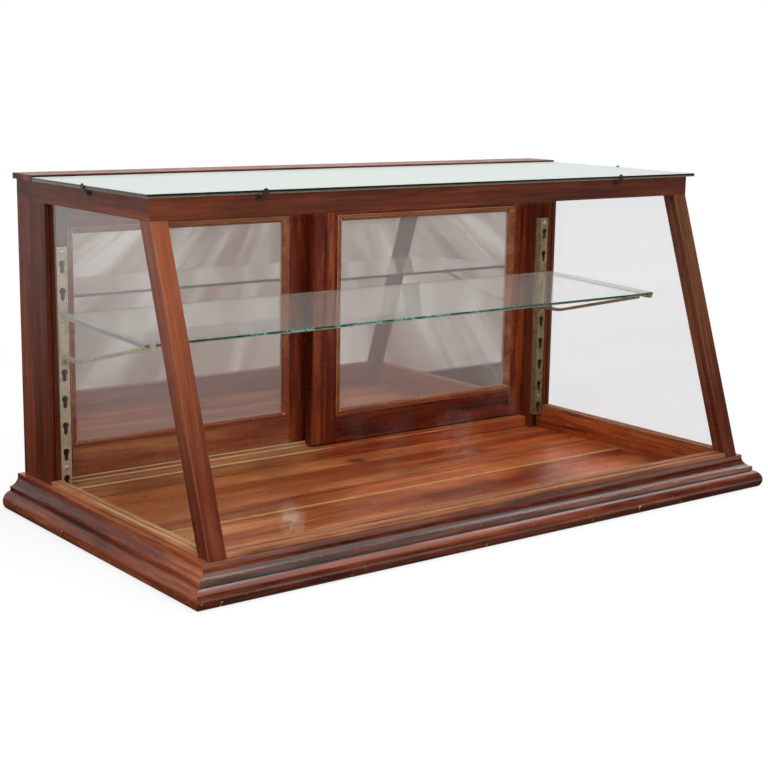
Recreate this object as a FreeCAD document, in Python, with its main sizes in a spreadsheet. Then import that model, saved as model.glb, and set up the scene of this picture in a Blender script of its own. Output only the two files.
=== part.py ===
import FreeCAD, Part
import math
import os
import re
import Sketcher

# Counter-top showcase with a slanted front, two sliding mirror doors at the back and one
# glass shelf. Millimetres, X to the right, Y to the back, Z up, origin under the base's centre.

SIZES = [
    ("base_width", 1026.0, "base across, nose to nose"),
    ("base_depth", 542.5, "base from nose to back"),
    ("base_height", 49.0, "top of the base moulding"),
    ("rail_width", 53.0, "base rail from nose to inner wall"),
    ("nose_radius", 15.3, "rounded nose of the base moulding"),
    ("nose_height", 10.3, "height of the nose's foremost line"),
    ("fillet_in", 12.0, "flat fillet, in from the nose"),
    ("fillet_height", 31.4, "top of the flat fillet"),
    ("cove_in", 24.5, "top edge of the cove, in from the nose"),
    ("cove_height", 46.5, "top of the cove"),
    ("cove_radius", 14.5, "hollow of the cove"),
    ("floor_top", 14.0, "top of the floor boards"),
    ("floor_thickness", 12.0, "floor boards"),
    ("floor_rebate", 8.0, "floor under the front rail and the sill"),
    ("front_board_width", 220.0, "front one of the two floor boards"),
    ("side_setback", 34.1, "frame's side face, in from the nose"),
    ("foot_setback", 26.9, "front post's foot, in from the nose"),
    ("rear_setback", 4.0, "frame's rear face, in from the base's back"),
    ("frame_height", 473.3, "top of the upper rails"),
    ("rail_height", 28.4, "upper rails, top to bottom"),
    ("top_depth", 377.6, "upper frame, front to rear face"),
    ("post_width", 25.2, "front post across"),
    ("post_depth", 25.0, "front post, square to its slope"),
    ("rear_post_depth", 86.0, "rear post, front lip to rear face"),
    ("lip", 6.5, "wood outside the side panes"),
    ("pane_thickness", 4.5, "front and side panes"),
    ("pane_set", 8.0, "front pane behind the posts' front face"),
    ("glass_fit", 0.25, "play of a pane in its slot, each side"),
    ("groove_depth", 8.0, "slots for the panes"),
    ("bead_height", 6.0, "glazing beads on the base"),
    ("top_glass_thickness", 5.0, "top glass"),
    ("glass_over_left", 4.3, "top glass past the left rail"),
    ("glass_over_right", 17.1, "top glass past the right rail"),
    ("glass_over_front", 1.8, "top glass past the front rail"),
    ("board_depth", 62.4, "back top board, front to back"),
    ("board_thickness", 8.0, "back top board"),
    ("jamb_width", 18.0, "door jamb across"),
    ("jamb_depth", 20.0, "door jamb, front to back"),
    ("ledge_width", 14.0, "sill in front of the doors"),
    ("sill_top", 33.0, "running face of the sill"),
    ("rib_width", 4.0, "rib between the two tracks"),
    ("rib_height", 7.0, "rib and rear lip above the sill"),
    ("header_drop", 3.9, "door header below the upper rails"),
    ("track_depth", 17.5, "grooves in the door header"),
    ("door_thickness", 20.0, "sliding doors"),
    ("door_gap", 1.0, "play of a door in its track, each side"),
    ("door_lift", 3.5, "door's bottom edge above the sill"),
    ("door_entry", 9.0, "door's top edge inside the header"),
    ("door_overlap", 18.0, "overlap of the closed doors"),
    ("stile_width", 46.0, "door stiles"),
    ("head_rail_width", 46.0, "door top rails"),
    ("foot_rail_width", 43.5, "door bottom rails"),
    ("moulding_width", 10.0, "moulding round the mirror"),
    ("moulding_depth", 8.0, "moulding, front to back"),
    ("moulding_round", 6.0, "rounding of the moulding"),
    ("mirror_thickness", 4.0, "mirrors"),
    ("panel_thickness", 6.0, "back panels of the mirrors"),
    ("pull_diameter", 30.0, "finger cup in a door"),
    ("pull_depth", 8.0, "finger cup, front to back"),
    ("pull_wall", 1.2, "finger cup's metal"),
    ("pull_fit", 0.1, "finger cup in its hole"),
    ("glide_diameter", 12.0, "door glides"),
    ("glide_flat", 7.0, "running face of a glide"),
    ("glide_clearance", 0.3, "glide above the sill"),
    ("glide_inset", 60.0, "glide from the end of the door"),
    ("standard_width", 16.0, "shelf standard across"),
    ("standard_depth", 13.0, "shelf standard, front to back"),
    ("standard_wall", 1.6, "shelf standard's metal"),
    ("standard_gap", 0.5, "shelf standard from the rear bead"),
    ("standard_bottom", 39.0, "lower end of the shelf standard"),
    ("standard_length", 345.0, "shelf standard"),
    ("keyhole_first", 56.1, "centre of the lowest keyhole's head"),
    ("keyhole_pitch", 38.1, "keyhole to keyhole"),
    ("keyhole_count", 9, "keyholes in a standard"),
    ("keyhole_head", 9.5, "keyhole's round head"),
    ("keyhole_slot", 6.0, "keyhole's slot across"),
    ("keyhole_drop", 10.3, "keyhole's head centre to slot end"),
    ("shelf_keyhole", 5, "keyhole of the bracket's lower stud, from zero"),
    ("screw_head", 7.5, "heads of the standards' screws"),
    ("screw_shank", 3.4, "shanks of the standards' screws"),
    ("screw_crown", 2.2, "height of a screw head"),
    ("screw_bite", 12.0, "screw in the wood"),
    ("screw_fit", 0.1, "screw in its hole"),
    ("screw_sides", 12, "sides of a screw's outline"),
    ("plate_width", 14.0, "bracket plate across"),
    ("plate_thickness", 2.0, "bracket plate"),
    ("plate_below", 8.5, "plate below the lower stud"),
    ("plate_clearance", 0.3, "plate in front of the standard"),
    ("stud_neck", 5.2, "stud in the keyhole's slot"),
    ("stud_head", 8.6, "stud's head behind the standard"),
    ("stud_head_thickness", 2.0, "stud's head"),
    ("rivet_head", 6.6, "riveted end of a stud across"),
    ("rivet_crown", 1.6, "riveted end of a stud"),
    ("arm_rise", 14.3, "arm above the upper stud"),
    ("arm_width", 8.0, "bracket arm across"),
    ("arm_thickness", 3.0, "bracket arm"),
    ("arm_lip", 5.6, "upturned end of the arm"),
    ("brace_width", 5.0, "bracket brace across"),
    ("brace_thickness", 5.0, "bracket brace"),
    ("brace_below", 6.0, "brace below the lower stud"),
    ("brace_straight", 42.0, "level start of the brace"),
    ("brace_bend", 60.0, "bend of the brace"),
    ("brace_end", 22.0, "end of the brace behind the arm's lip"),
    ("shelf_clearance", 6.4, "shelf's ends from the side panes' slots"),
    ("shelf_depth", 237.0, "glass shelf, front to back"),
    ("shelf_thickness", 4.5, "glass shelf"),
    ("shelf_behind", 9.0, "shelf in front of the plates"),
    ("shelf_fall", 8.0, "old brackets settled at the front"),
    ("shelf_fit", 0.2, "shelf on its arms"),
    ("clip_tab", 9.0, "top glass clip's leg and ledge across"),
    ("clip_metal", 1.5, "top glass clip's metal"),
    ("clip_leg", 8.0, "clip's leg on the rail"),
    ("clip_ledge", 3.0, "clip's ledge past its ear"),
    ("clip_ear", 8.0, "round ear in front of the glass edge, across"),
    ("clip_rise", 3.3, "middle of the ear above the rail"),
    ("clip_fit", 0.2, "clip round the glass"),
    ("clip_screw_head", 5.0, "heads of the clips' screws"),
    ("clip_screw_shank", 2.4, "shanks of the clips' screws"),
    ("clip_screw_drop", 4.9, "clip screw below the glass"),
    ("clip_front_x", 321.0, "front clips from the middle"),
    ("clip_side_y", 48.0, "side clips behind the middle"),
]

DERIVED = {
    "nose_foot": "nose_radius - sqrt(nose_radius^2 - nose_height^2)",
    "nose_top": "nose_height + sqrt(nose_radius^2 - (nose_radius - fillet_in)^2)",
    "half_width": "base_width / 2",
    "half_depth": "base_depth / 2",
    "frame_x": "half_width - side_setback",
    "wall_x": "half_width - rail_width",
    "wall_front": "rail_width - half_depth",
    "foot_y": "foot_setback - half_depth",
    "frame_rear": "half_depth - rear_setback",
    "rail_front": "frame_rear - top_depth",
    "rail_bottom": "frame_height - rail_height",
    "rail_thickness": "frame_x - wall_x",
    "lean": "(rail_front - foot_y) / (rail_bottom - base_height)",
    "slant": "sqrt(1 + lean^2)",
    "post_run": "post_depth * slant",
    "pane_slot": "pane_thickness + 2 * glass_fit",
    "slot_x": "frame_x - lip",
    "pane_front": "(pane_set - glass_fit) * slant",
    "pane_rear": "pane_front + pane_slot * slant",
    "pane_top": "rail_bottom + groove_depth - glass_fit",
    "groove_top": "rail_bottom + groove_depth",
    "bead_top": "base_height + bead_height",
    "lip_front": "frame_rear - rear_post_depth",
    "post_front": "lip_front + standard_depth",
    "jamb_rear": "post_front + jamb_depth",
    "door_front": "jamb_rear + door_gap",
    "track_pitch": "door_thickness + 2 * door_gap + rib_width",
    "rib_front": "door_front + door_thickness + door_gap",
    "rib_rear": "rib_front + rib_width",
    "track_rear": "rib_rear + door_thickness + 2 * door_gap",
    "rib_top": "sill_top + rib_height",
    "sill_front": "door_front - ledge_width",
    "floor_front": "wall_front - floor_rebate",
    "floor_seam": "floor_front + front_board_width",
    "header_bottom": "rail_bottom - header_drop",
    "board_front": "half_depth - board_depth",
    "door_bottom": "sill_top + door_lift",
    "door_top": "header_bottom + door_entry",
    "door_outer": "wall_x - door_gap",
    "door_inner": "-door_overlap / 2",
    "opening_inner": "door_inner + stile_width",
    "opening_outer": "door_outer - stile_width",
    "opening_bottom": "door_bottom + foot_rail_width",
    "opening_top": "door_top - head_rail_width",
    "mirror_front": "moulding_depth",
    "panel_front": "moulding_depth + mirror_thickness",
    "pull_x": "door_outer - stile_width / 2",
    "pull_z": "(door_bottom + door_top) / 2",
    "standard_x": "wall_x - standard_gap - standard_width / 2",
    "stud_low": "keyhole_first + keyhole_pitch * shelf_keyhole - keyhole_drop",
    "stud_high": "stud_low + keyhole_pitch",
    "plate_rear": "lip_front - plate_clearance",
    "plate_front": "plate_rear - plate_thickness",
    "arm_top": "stud_high + arm_rise",
    "shelf_rear": "plate_front - shelf_behind",
    "shelf_front": "shelf_rear - shelf_depth",
    "shelf_reach": "slot_x - pane_slot - shelf_clearance",
    "shelf_slope": "shelf_fall / shelf_depth",
    "arm_end": "shelf_front - shelf_fit",
    "brace_z": "stud_low - brace_below",
    "brace_corner": "plate_front - brace_straight",
    "brace_y": "arm_end + brace_end",
    "brace_tip": "arm_top - shelf_slope * (plate_front - brace_y) - arm_thickness - brace_thickness / 2",
    "brace_slope": "(brace_tip - brace_z) / (brace_corner - brace_y)",
    "brace_secant": "sqrt(1 + brace_slope^2)",
    "brace_tangent": "brace_bend * (brace_secant - 1) / brace_slope",
    "keyhole_gap": "keyhole_head / 2 + keyhole_pitch - keyhole_drop - keyhole_slot / 2",
    "bottom_screw": "keyhole_first + keyhole_gap / 2",
    "middle_screw": "bottom_screw + keyhole_pitch * (shelf_keyhole - 1)",
    "top_screw": "bottom_screw + keyhole_pitch * (keyhole_count - 1)",
}

NAMES = {name for name, size, meaning in SIZES}
SIDES = ((-1, "left"), (1, "right"))

doc = FreeCAD.newDocument("Showcase")
sheet = doc.addObject("Spreadsheet::Sheet", "Sizes")
nodes = []


def fill_sheet():
    """Write every driving size into its own named cell."""
    for row, (name, size, meaning) in enumerate(SIZES, start=1):
        sheet.set("A%d" % row, meaning)
        sheet.set("B%d" % row, str(size))
        sheet.setAlias("B%d" % row, name)
    doc.recompute()


def bound(expression):
    """Turn the names of sizes and places in an expression into cell references."""
    def swap(match):
        word = match.group(0)
        if word in DERIVED:
            return "(" + bound(DERIVED[word]) + ")"
        if word in NAMES:
            return "Sizes." + word
        return word
    return re.sub(r"[A-Za-z_]\w*", swap, str(expression))


def value(expression):
    """The present size of an expression."""
    return float(sheet.evalExpression(bound(expression)))


def node(piece):
    """Mark a piece as one that is handed over under its own name."""
    nodes.append(piece)
    return piece


def span(side, low, high):
    """A stretch along X, given for the right half, on the asked side."""
    if side > 0:
        return low, high
    return "-(%s)" % high, "-(%s)" % low


def box(label, x, y, z):
    """A squared board between pairs of places along X, Y and Z."""
    piece = doc.addObject("Part::Box", label)
    for axis, size, (low, high) in zip("xyz", ("Length", "Width", "Height"), (x, y, z)):
        piece.setExpression(size, bound("(%s) - (%s)" % (high, low)))
        piece.setExpression("Placement.Base." + axis, bound(low))
    return piece


def settle(piece, x, y, z, axis=None, angle=0):
    """Turn a piece about an axis and put its own origin at a place."""
    if axis:
        piece.Placement.Rotation = FreeCAD.Rotation(FreeCAD.Vector(*axis), angle)
    for name, place in zip("xyz", (x, y, z)):
        piece.setExpression("Placement.Base." + name, bound(place))
    return piece


def arc_between(here, there, radius, turn):
    """The shorter arc from one corner to the next, turning left (1) or right (-1)."""
    chord = there - here
    across = FreeCAD.Vector(-chord.y, chord.x, 0).normalize()
    reach = math.sqrt(max(radius ** 2 - chord.Length ** 2 / 4, 0))
    centre = (here + there) / 2 + across * reach * turn
    start, end = (here, there) if turn > 0 else (there, here)
    first = math.atan2(start.y - centre.y, start.x - centre.x)
    second = math.atan2(end.y - centre.y, end.x - centre.x)
    if second < first:
        second += 2 * math.pi
    circle = Part.Circle(centre, FreeCAD.Vector(0, 0, 1), radius)
    return Part.ArcOfCircle(circle, first, second)


def draw(sketch, corners, closed=True):
    """Draw corners (across, up), or (across, up, radius, turn) where an arc leads on."""
    spots = [FreeCAD.Vector(value(corner[0]), value(corner[1]), 0) for corner in corners]
    count = len(corners)
    runs = []
    for index in range(count if closed else count - 1):
        here, there = spots[index], spots[(index + 1) % count]
        if len(corners[index]) == 2:
            edge = sketch.addGeometry(Part.LineSegment(here, there), False)
            runs.append((edge, 1, 2))
            continue
        radius, turn = corners[index][2:]
        edge = sketch.addGeometry(arc_between(here, there, value(radius), turn), False)
        runs.append((edge, 1, 2) if turn > 0 else (edge, 2, 1))
    for before, after in zip(runs, runs[1:] + (runs[:1] if closed else [])):
        sketch.addConstraint(Sketcher.Constraint("Coincident", before[0], before[2], after[0], after[1]))
    ends = [(run[0], run[1]) for run in runs]
    if not closed:
        ends.append((runs[-1][0], runs[-1][2]))
    for corner, spot, (edge, point) in zip(corners, spots, ends):
        for kind, place, size in (("DistanceX", corner[0], spot.x), ("DistanceY", corner[1], spot.y)):
            rule = sketch.addConstraint(Sketcher.Constraint(kind, -1, 1, edge, point, size))
            sketch.setExpression("Constraints[%d]" % rule, bound(place))
    for corner, run in zip(corners, runs):
        if len(corner) > 2:
            rule = sketch.addConstraint(Sketcher.Constraint("Radius", run[0], value(corner[2])))
            sketch.setExpression("Constraints[%d]" % rule, bound(corner[2]))


def sketch_on(body, name, plane, offset):
    """An empty sketch on one of the body's own planes, moved out along its normal."""
    sketch = body.newObject("Sketcher::SketchObject", name)
    support = [item for item in body.Origin.OriginFeatures if item.Role == plane + "_Plane"]
    sketch.AttachmentSupport = [(support[0], "")]
    sketch.MapMode = "FlatFace"
    sketch.setExpression("AttachmentOffset.Base.z", bound(offset))
    return sketch


def outline(body, name, plane, offset, *loops):
    """A sketch of closed loops."""
    sketch = sketch_on(body, name, plane, offset)
    for loop in loops:
        draw(sketch, loop)
    return sketch


def feature(body, kind, sketch):
    """A feature of the body that works on a sketch."""
    made = body.newObject("PartDesign::" + kind, sketch.Name + "_" + kind.lower())
    made.Profile = sketch
    return made


def pad(body, sketch, length):
    """Thicken a sketch along its normal: +Z on XY, -Y on XZ, +X on YZ."""
    made = feature(body, "Pad", sketch)
    made.setExpression("Length", bound(length))
    return made


def pocket(body, sketch, depth):
    """Cut a sketch against its normal: -Z on XY, +Y on XZ, -X on YZ."""
    made = feature(body, "Pocket", sketch)
    made.setExpression("Length", bound(depth))
    return made


def bar(label, plane, offset, length, corners):
    """A body of one outline, thickened."""
    body = doc.addObject("PartDesign::Body", label)
    pad(body, outline(body, label + "_outline", plane, offset, corners), length)
    return body


def turned(label, corners):
    """A body turned about its own Z axis from an outline (radius, height)."""
    body = doc.addObject("PartDesign::Body", label)
    sketch = outline(body, label + "_outline", "XZ", "0", corners)
    made = feature(body, "Revolution", sketch)
    made.ReferenceAxis = (sketch, ["V_Axis"])
    made.Angle = 360
    return body


def drill(label, diameter, depth, x, y, z, axis, angle):
    """A round cutter that starts at a place and runs along its turned Z axis."""
    tool = doc.addObject("Part::Cylinder", label)
    tool.setExpression("Radius", bound("(%s) / 2" % diameter))
    tool.setExpression("Height", bound(depth))
    return settle(tool, x, y, z, axis, angle)


def rod(label, diameter, height):
    """A many-sided rod up its own Z axis, for a small screw or its hole."""
    piece = doc.addObject("Part::Prism", label)
    piece.setExpression("Polygon", bound("screw_sides"))
    piece.setExpression("Circumradius", bound("(%s) / 2" % diameter))
    piece.setExpression("Height", bound(height))
    return piece


def screw_hole(label, shank, depth, x, y, z, axis, angle):
    """A cutter for a screw's shank that starts at a place and runs along its turned Z axis."""
    return settle(rod(label, shank + " + 2 * screw_fit", depth), x, y, z, axis, angle)


def screw(label, head, shank, reach):
    """A wood screw: its head stands below its own origin and its shank runs up from it."""
    crown = settle(rod(label + "_head", head, "screw_crown"), "0", "0", "-screw_crown")
    made = doc.addObject("Part::MultiFuse", label)
    made.Shapes = [crown, rod(label + "_shank", shank, reach)]
    return made


def cut(label, base, tools):
    """A piece with cutters taken out of it."""
    made = doc.addObject("Part::Cut", label)
    made.Base = base
    made.Tool = tools[0] if len(tools) == 1 else group(label + "_cutters", tools)
    return made


def group(label, pieces):
    """Like pieces that are handed over together."""
    made = doc.addObject("Part::Compound", label)
    made.Links = pieces
    return made


BACK_TO_FRONT = ((1, 0, 0), 90)
FRONT_TO_BACK = ((1, 0, 0), -90)


def base_profile(side, half, rebate):
    """The base rail's section: wall, cove, fillet and nose, seen with the nose at the given side."""
    def across(inward):
        return "%d * (%s - (%s))" % (side, half, inward)
    seat = [("rail_width", "0")]
    if rebate:
        seat = [("rail_width - floor_rebate", "0"), ("rail_width - floor_rebate", "floor_top"),
                ("rail_width", "floor_top")]
    face = [("rail_width", "base_height"), ("cove_in", "base_height"),
            ("cove_in", "cove_height", "cove_radius", side), ("fillet_in", "fillet_height"),
            ("fillet_in", "nose_top", "nose_radius", -side), ("nose_foot", "0")]
    return [(across(corner[0]),) + corner[1:] for corner in seat + face]


def mitre(body, name, top, depth, *triangles):
    """Cut the ends of a rail off at its mitres."""
    pocket(body, outline(body, name, "XY", top, *triangles), depth)


def make_base():
    """Moulded rails with mitred corners, the floor boards and the door sill."""
    front = node(bar("base_rail_front", "YZ", "-half_width", "base_width",
                     base_profile(-1, "half_depth", True)))
    ends = []
    for side, name in SIDES:
        ends.append([("%d * half_width" % side, "-half_depth"), ("%d * half_width" % side, "wall_front"),
                     ("%d * wall_x" % side, "wall_front")])
    mitre(front, "front_mitres", "base_height", "base_height", *ends)
    for side, name in SIDES:
        rail = node(bar("base_rail_" + name, "XZ", "-half_depth", "base_depth",
                        base_profile(side, "half_width", False)))
        mitre(rail, "base_mitre_" + name, "base_height", "base_height",
              [("%d * half_width" % side, "-half_depth"), ("%d * wall_x" % side, "-half_depth"),
               ("%d * wall_x" % side, "wall_front")])
    across = ("-wall_x", "wall_x")
    depth = ("floor_top - floor_thickness", "floor_top")
    node(box("floor_board_front", across, ("floor_front", "floor_seam"), depth))
    node(box("floor_board_rear", across, ("floor_seam", "sill_front + floor_rebate"), depth))
    sill = node(bar("door_sill", "YZ", "-wall_x", "2 * wall_x", [
        ("sill_front + floor_rebate", "0"), ("half_depth", "0"), ("half_depth", "rib_top"),
        ("track_rear", "rib_top"), ("track_rear", "sill_top"), ("rib_rear", "sill_top"),
        ("rib_rear", "rib_top"), ("rib_front", "rib_top"), ("rib_front", "sill_top"),
        ("sill_front", "sill_top"), ("sill_front", "floor_top"), ("sill_front + floor_rebate", "floor_top")]))
    notches = []
    for side, name in SIDES:
        low, high = span(side, "wall_x - jamb_width", "wall_x")
        notches.append([(low, "sill_front"), (high, "sill_front"), (high, "jamb_rear"), (low, "jamb_rear")])
    pocket(sill, outline(sill, "jamb_notches", "XY", "sill_top", *notches), "sill_top - floor_top")


def standard_screw_heights():
    """Heights of the three screws of a shelf standard."""
    return ("top_screw", "middle_screw", "bottom_screw")


def make_rear_posts():
    """Rear posts with a lip for the side panes, the door jambs and the vertical beads."""
    for side, name in SIDES:
        section = [("wall_x", "post_front"), ("slot_x", "post_front"), ("slot_x", "lip_front"),
                   ("frame_x", "lip_front"), ("frame_x", "frame_rear"), ("wall_x", "frame_rear")]
        corners = [("%d * (%s)" % (side, x), y) for x, y in section]
        node(bar("rear_post_" + name, "XY", "base_height", "rail_bottom - base_height", corners))
        node(box("rear_bead_" + name, span(side, "wall_x", "slot_x - pane_slot"),
                 ("lip_front", "post_front"), ("base_height", "rail_bottom")))
        jamb = box("jamb_blank_" + name, span(side, "wall_x - jamb_width", "wall_x"),
                   ("post_front", "jamb_rear"), ("floor_top", "header_bottom"))
        holes = [screw_hole("jamb_hole_%s_%d" % (name, number), "screw_shank", "screw_bite + screw_fit",
                            "%d * standard_x" % side, "post_front", height, *FRONT_TO_BACK)
                 for number, height in enumerate(standard_screw_heights())]
        node(cut("door_jamb_" + name, jamb, holes))


def sloped(front, rear):
    """Front post corners between two distances behind its front face."""
    return [("foot_y + " + front, "base_height"), ("foot_y + " + rear, "base_height"),
            ("rail_front + " + rear, "rail_bottom"), ("rail_front + " + front, "rail_bottom")]


def make_front_posts():
    """Leaning front posts, slotted for the front pane and the side panes."""
    for side, name in SIDES:
        low, high = span(side, "frame_x - post_width", "frame_x")
        post = node(bar("front_post_" + name, "YZ", low, "post_width", sloped("0", "post_run")))
        low, high = span(side, "frame_x - post_width", "frame_x - post_width + groove_depth")
        pocket(post, outline(post, "front_slot_" + name, "YZ", high, sloped("pane_front", "pane_rear")),
               "groove_depth")
        low, high = span(side, "slot_x - pane_slot", "slot_x")
        pocket(post, outline(post, "side_slot_" + name, "YZ", high,
                             sloped("post_run - groove_depth", "post_run")), "pane_slot")


def make_top_frame():
    """Mitred upper rails, slotted below for the panes, the door header and the back board."""
    groove = [("rail_front + pane_rear", "rail_bottom"),
              ("rail_front + pane_rear + lean * groove_depth", "groove_top"),
              ("rail_front + pane_front + lean * groove_depth", "groove_top"),
              ("rail_front + pane_front", "rail_bottom")]
    rear = "rail_front + rail_thickness"
    front = bar("front_rail_blank", "YZ", "-frame_x", "2 * frame_x", [
        ("rail_front", "rail_bottom"), ("rail_front", "frame_height"), (rear, "frame_height"),
        (rear, "rail_bottom")] + groove)
    ends = []
    for side, name in SIDES:
        ends.append([("%d * frame_x" % side, "rail_front"), ("%d * frame_x" % side, rear),
                     ("%d * wall_x" % side, rear)])
    mitre(front, "rail_mitres", "frame_height", "rail_height", *ends)
    clip_hole = ("clip_screw_shank", "screw_bite + screw_fit")
    screw_height = "frame_height - clip_screw_drop"
    holes = [screw_hole("front_clip_hole_" + name, *clip_hole, "%d * clip_front_x" % side, "rail_front",
                        screw_height, *FRONT_TO_BACK)
             for side, name in SIDES]
    node(cut("top_rail_front", front, holes))
    for side, name in SIDES:
        section = [("wall_x", "rail_bottom"), ("wall_x", "frame_height"), ("frame_x", "frame_height"),
                   ("frame_x", "rail_bottom"), ("slot_x", "rail_bottom"), ("slot_x", "groove_top"),
                   ("slot_x - pane_slot", "groove_top"), ("slot_x - pane_slot", "rail_bottom")]
        corners = [("%d * (%s)" % (side, x), z) for x, z in section]
        rail = bar("rail_blank_" + name, "XZ", "-frame_rear", "top_depth", corners)
        mitre(rail, "rail_mitre_" + name, "frame_height", "rail_height",
              [("%d * frame_x" % side, "rail_front"), ("%d * wall_x" % side, "rail_front"),
               ("%d * wall_x" % side, rear)])
        hole = screw_hole("side_clip_hole_" + name, *clip_hole, "%d * frame_x" % side, "clip_side_y",
                          screw_height, (0, 1, 0), -90 * side)
        node(cut("top_rail_" + name, rail, [hole]))
    node(bar("door_header", "YZ", "-wall_x", "2 * wall_x", [
        ("post_front", "header_bottom"), ("post_front", "frame_height"), ("frame_rear", "frame_height"),
        ("frame_rear", "header_bottom"), ("track_rear", "header_bottom"),
        ("track_rear", "header_bottom + track_depth"), ("rib_rear", "header_bottom + track_depth"),
        ("rib_rear", "header_bottom"), ("rib_front", "header_bottom"),
        ("rib_front", "header_bottom + track_depth"), ("jamb_rear", "header_bottom + track_depth"),
        ("jamb_rear", "header_bottom")]))
    node(box("back_top_board", ("-frame_x - glass_over_left", "frame_x + glass_over_right"),
             ("board_front", "half_depth"), ("frame_height", "frame_height + board_thickness")))


def make_glazing():
    """The panes, the top glass and the beads that hold the panes on the base."""
    rise = "lean * (pane_top - base_height)"
    front, rear = "foot_y + pane_set * slant", "foot_y + (pane_set + pane_thickness) * slant"
    reach = "frame_x - post_width + groove_depth - glass_fit"
    node(bar("front_pane", "YZ", "-(%s)" % reach, "2 * (%s)" % reach, [
        (front, "base_height"), (rear, "base_height"), (rear + " + " + rise, "pane_top"),
        (front + " + " + rise, "pane_top")]))
    edge = "foot_y + post_run - groove_depth + glass_fit"
    for side, name in SIDES:
        low, high = span(side, "slot_x - glass_fit - pane_thickness", "slot_x - glass_fit")
        node(bar("side_pane_" + name, "YZ", low, "pane_thickness", [
            (edge, "base_height"), ("post_front", "base_height"), ("post_front", "pane_top"),
            (edge + " + " + rise, "pane_top")]))
    node(box("top_glass", ("-frame_x - glass_over_left", "frame_x + glass_over_right"),
             ("rail_front - glass_over_front", "board_front"),
             ("frame_height", "frame_height + top_glass_thickness")))
    between = "frame_x - post_width"
    tilt = "lean * bead_height"
    beads = (("outer_bead_front", "foot_y", "foot_y + pane_front", tilt),
             ("inner_bead_front", "foot_y + pane_rear", "wall_front", "0"))
    for label, low, high, low_tilt in beads:
        high_tilt = tilt if low_tilt != "0" else "0"
        near = low if low_tilt != "0" else low + " + " + tilt
        corners = [(low, "base_height"), (high, "base_height"), (high + " + " + high_tilt, "bead_top"),
                   (near + " + " + low_tilt, "bead_top")]
        node(bar(label, "YZ", "-(%s)" % between, "2 * (%s)" % between, corners))
    for side, name in SIDES:
        for label, inner, outer in (("outer_bead_", "slot_x", "frame_x"),
                                    ("inner_bead_", "wall_x", "slot_x - pane_slot")):
            low, high = span(side, inner, outer)
            node(bar(label + name, "YZ", low, "(%s) - (%s)" % (outer, inner), [
                ("foot_y + post_run", "base_height"), ("lip_front", "base_height"), ("lip_front", "bead_top"),
                ("foot_y + post_run + " + tilt, "bead_top")]))


def make_clips():
    """Bent clips round the edge of the top glass: a leg with a screw, a ledge and an upturned round ear."""
    places = (("front_left", "glass_over_front", "-clip_front_x", "rail_front", 0, 1),
              ("front_right", "glass_over_front", "clip_front_x", "rail_front", 0, 1),
              ("left", "glass_over_left", "-frame_x", "clip_side_y", -90, -1),
              ("right", "glass_over_right", "frame_x", "clip_side_y", 90, 1))
    top, bottom = "-clip_fit", "-clip_fit - clip_metal"
    clips = []
    screws = []
    for name, over, x, y, turn, hand in places:
        edge = "%s + clip_fit" % over
        face = "%s + clip_metal" % edge
        ledge = "-(%s + clip_ledge)" % face
        clip = bar("clip_" + name, "YZ", "-clip_tab / 2", "clip_tab", [
            ("0", "-clip_leg"), ("0", top), (ledge, top), (ledge, bottom), ("-clip_metal", bottom),
            ("-clip_metal", "-clip_leg")])
        low, high = span(hand, "clip_tab / 2", "clip_tab / 2 + clip_ear")
        strip = [(low, "-(%s)" % face), (high, "-(%s)" % face), (high, "0"), (low, "0")]
        pad(clip, outline(clip, "clip_strip_" + name, "XY", bottom, strip), "clip_metal")
        ear = [(low, bottom), (high, bottom), (high, "clip_rise", "clip_ear / 2", 1),
               ("%d * (clip_tab + clip_ear) / 2" % hand, "clip_rise + clip_ear / 2", "clip_ear / 2", 1),
               (low, "clip_rise")]
        pad(clip, outline(clip, "clip_ear_" + name, "XZ", edge, ear), "clip_metal")
        settle(clip, x, y, "frame_height", (0, 0, 1), turn)
        hole = rod("clip_eye_" + name, "clip_screw_shank + 2 * screw_fit", "2 * clip_metal")
        holder = screw("screw_of_clip_" + name, "clip_screw_head", "clip_screw_shank", "clip_metal + screw_bite")
        outward = FreeCAD.Rotation(FreeCAD.Vector(0, 0, 1), turn)
        inward = outward.multiply(FreeCAD.Rotation(FreeCAD.Vector(1, 0, 0), -90))
        start = outward.multVec(FreeCAD.Vector(0, -1, 0))
        for piece, out in ((hole, "1.5 * clip_metal"), (holder, "clip_metal")):
            piece.Placement.Rotation = inward
            settle(piece, "%s + %d * (%s)" % (x, round(start.x), out), "%s + %d * (%s)" % (y, round(start.y), out),
                   "frame_height - clip_screw_drop")
        clips.append(cut("clip_drilled_" + name, clip, [hole]))
        screws.append(holder)
    node(group("glass_clips", clips))
    node(group("clip_screws", screws))


def keyhole():
    """A round head over a narrow slot, drawn about the standard's middle."""
    head, slot = "keyhole_head / 2", "keyhole_slot / 2"
    neck = "keyhole_first - sqrt((%s)^2 - (%s)^2)" % (head, slot)
    foot = "keyhole_first - keyhole_drop"
    return [(slot, neck, head, 1), ("0", "keyhole_first + " + head, head, 1), ("-" + slot, neck),
            ("-" + slot, foot, slot, 1), ("0", "%s - %s" % (foot, slot), slot, 1), (slot, foot)]


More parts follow.
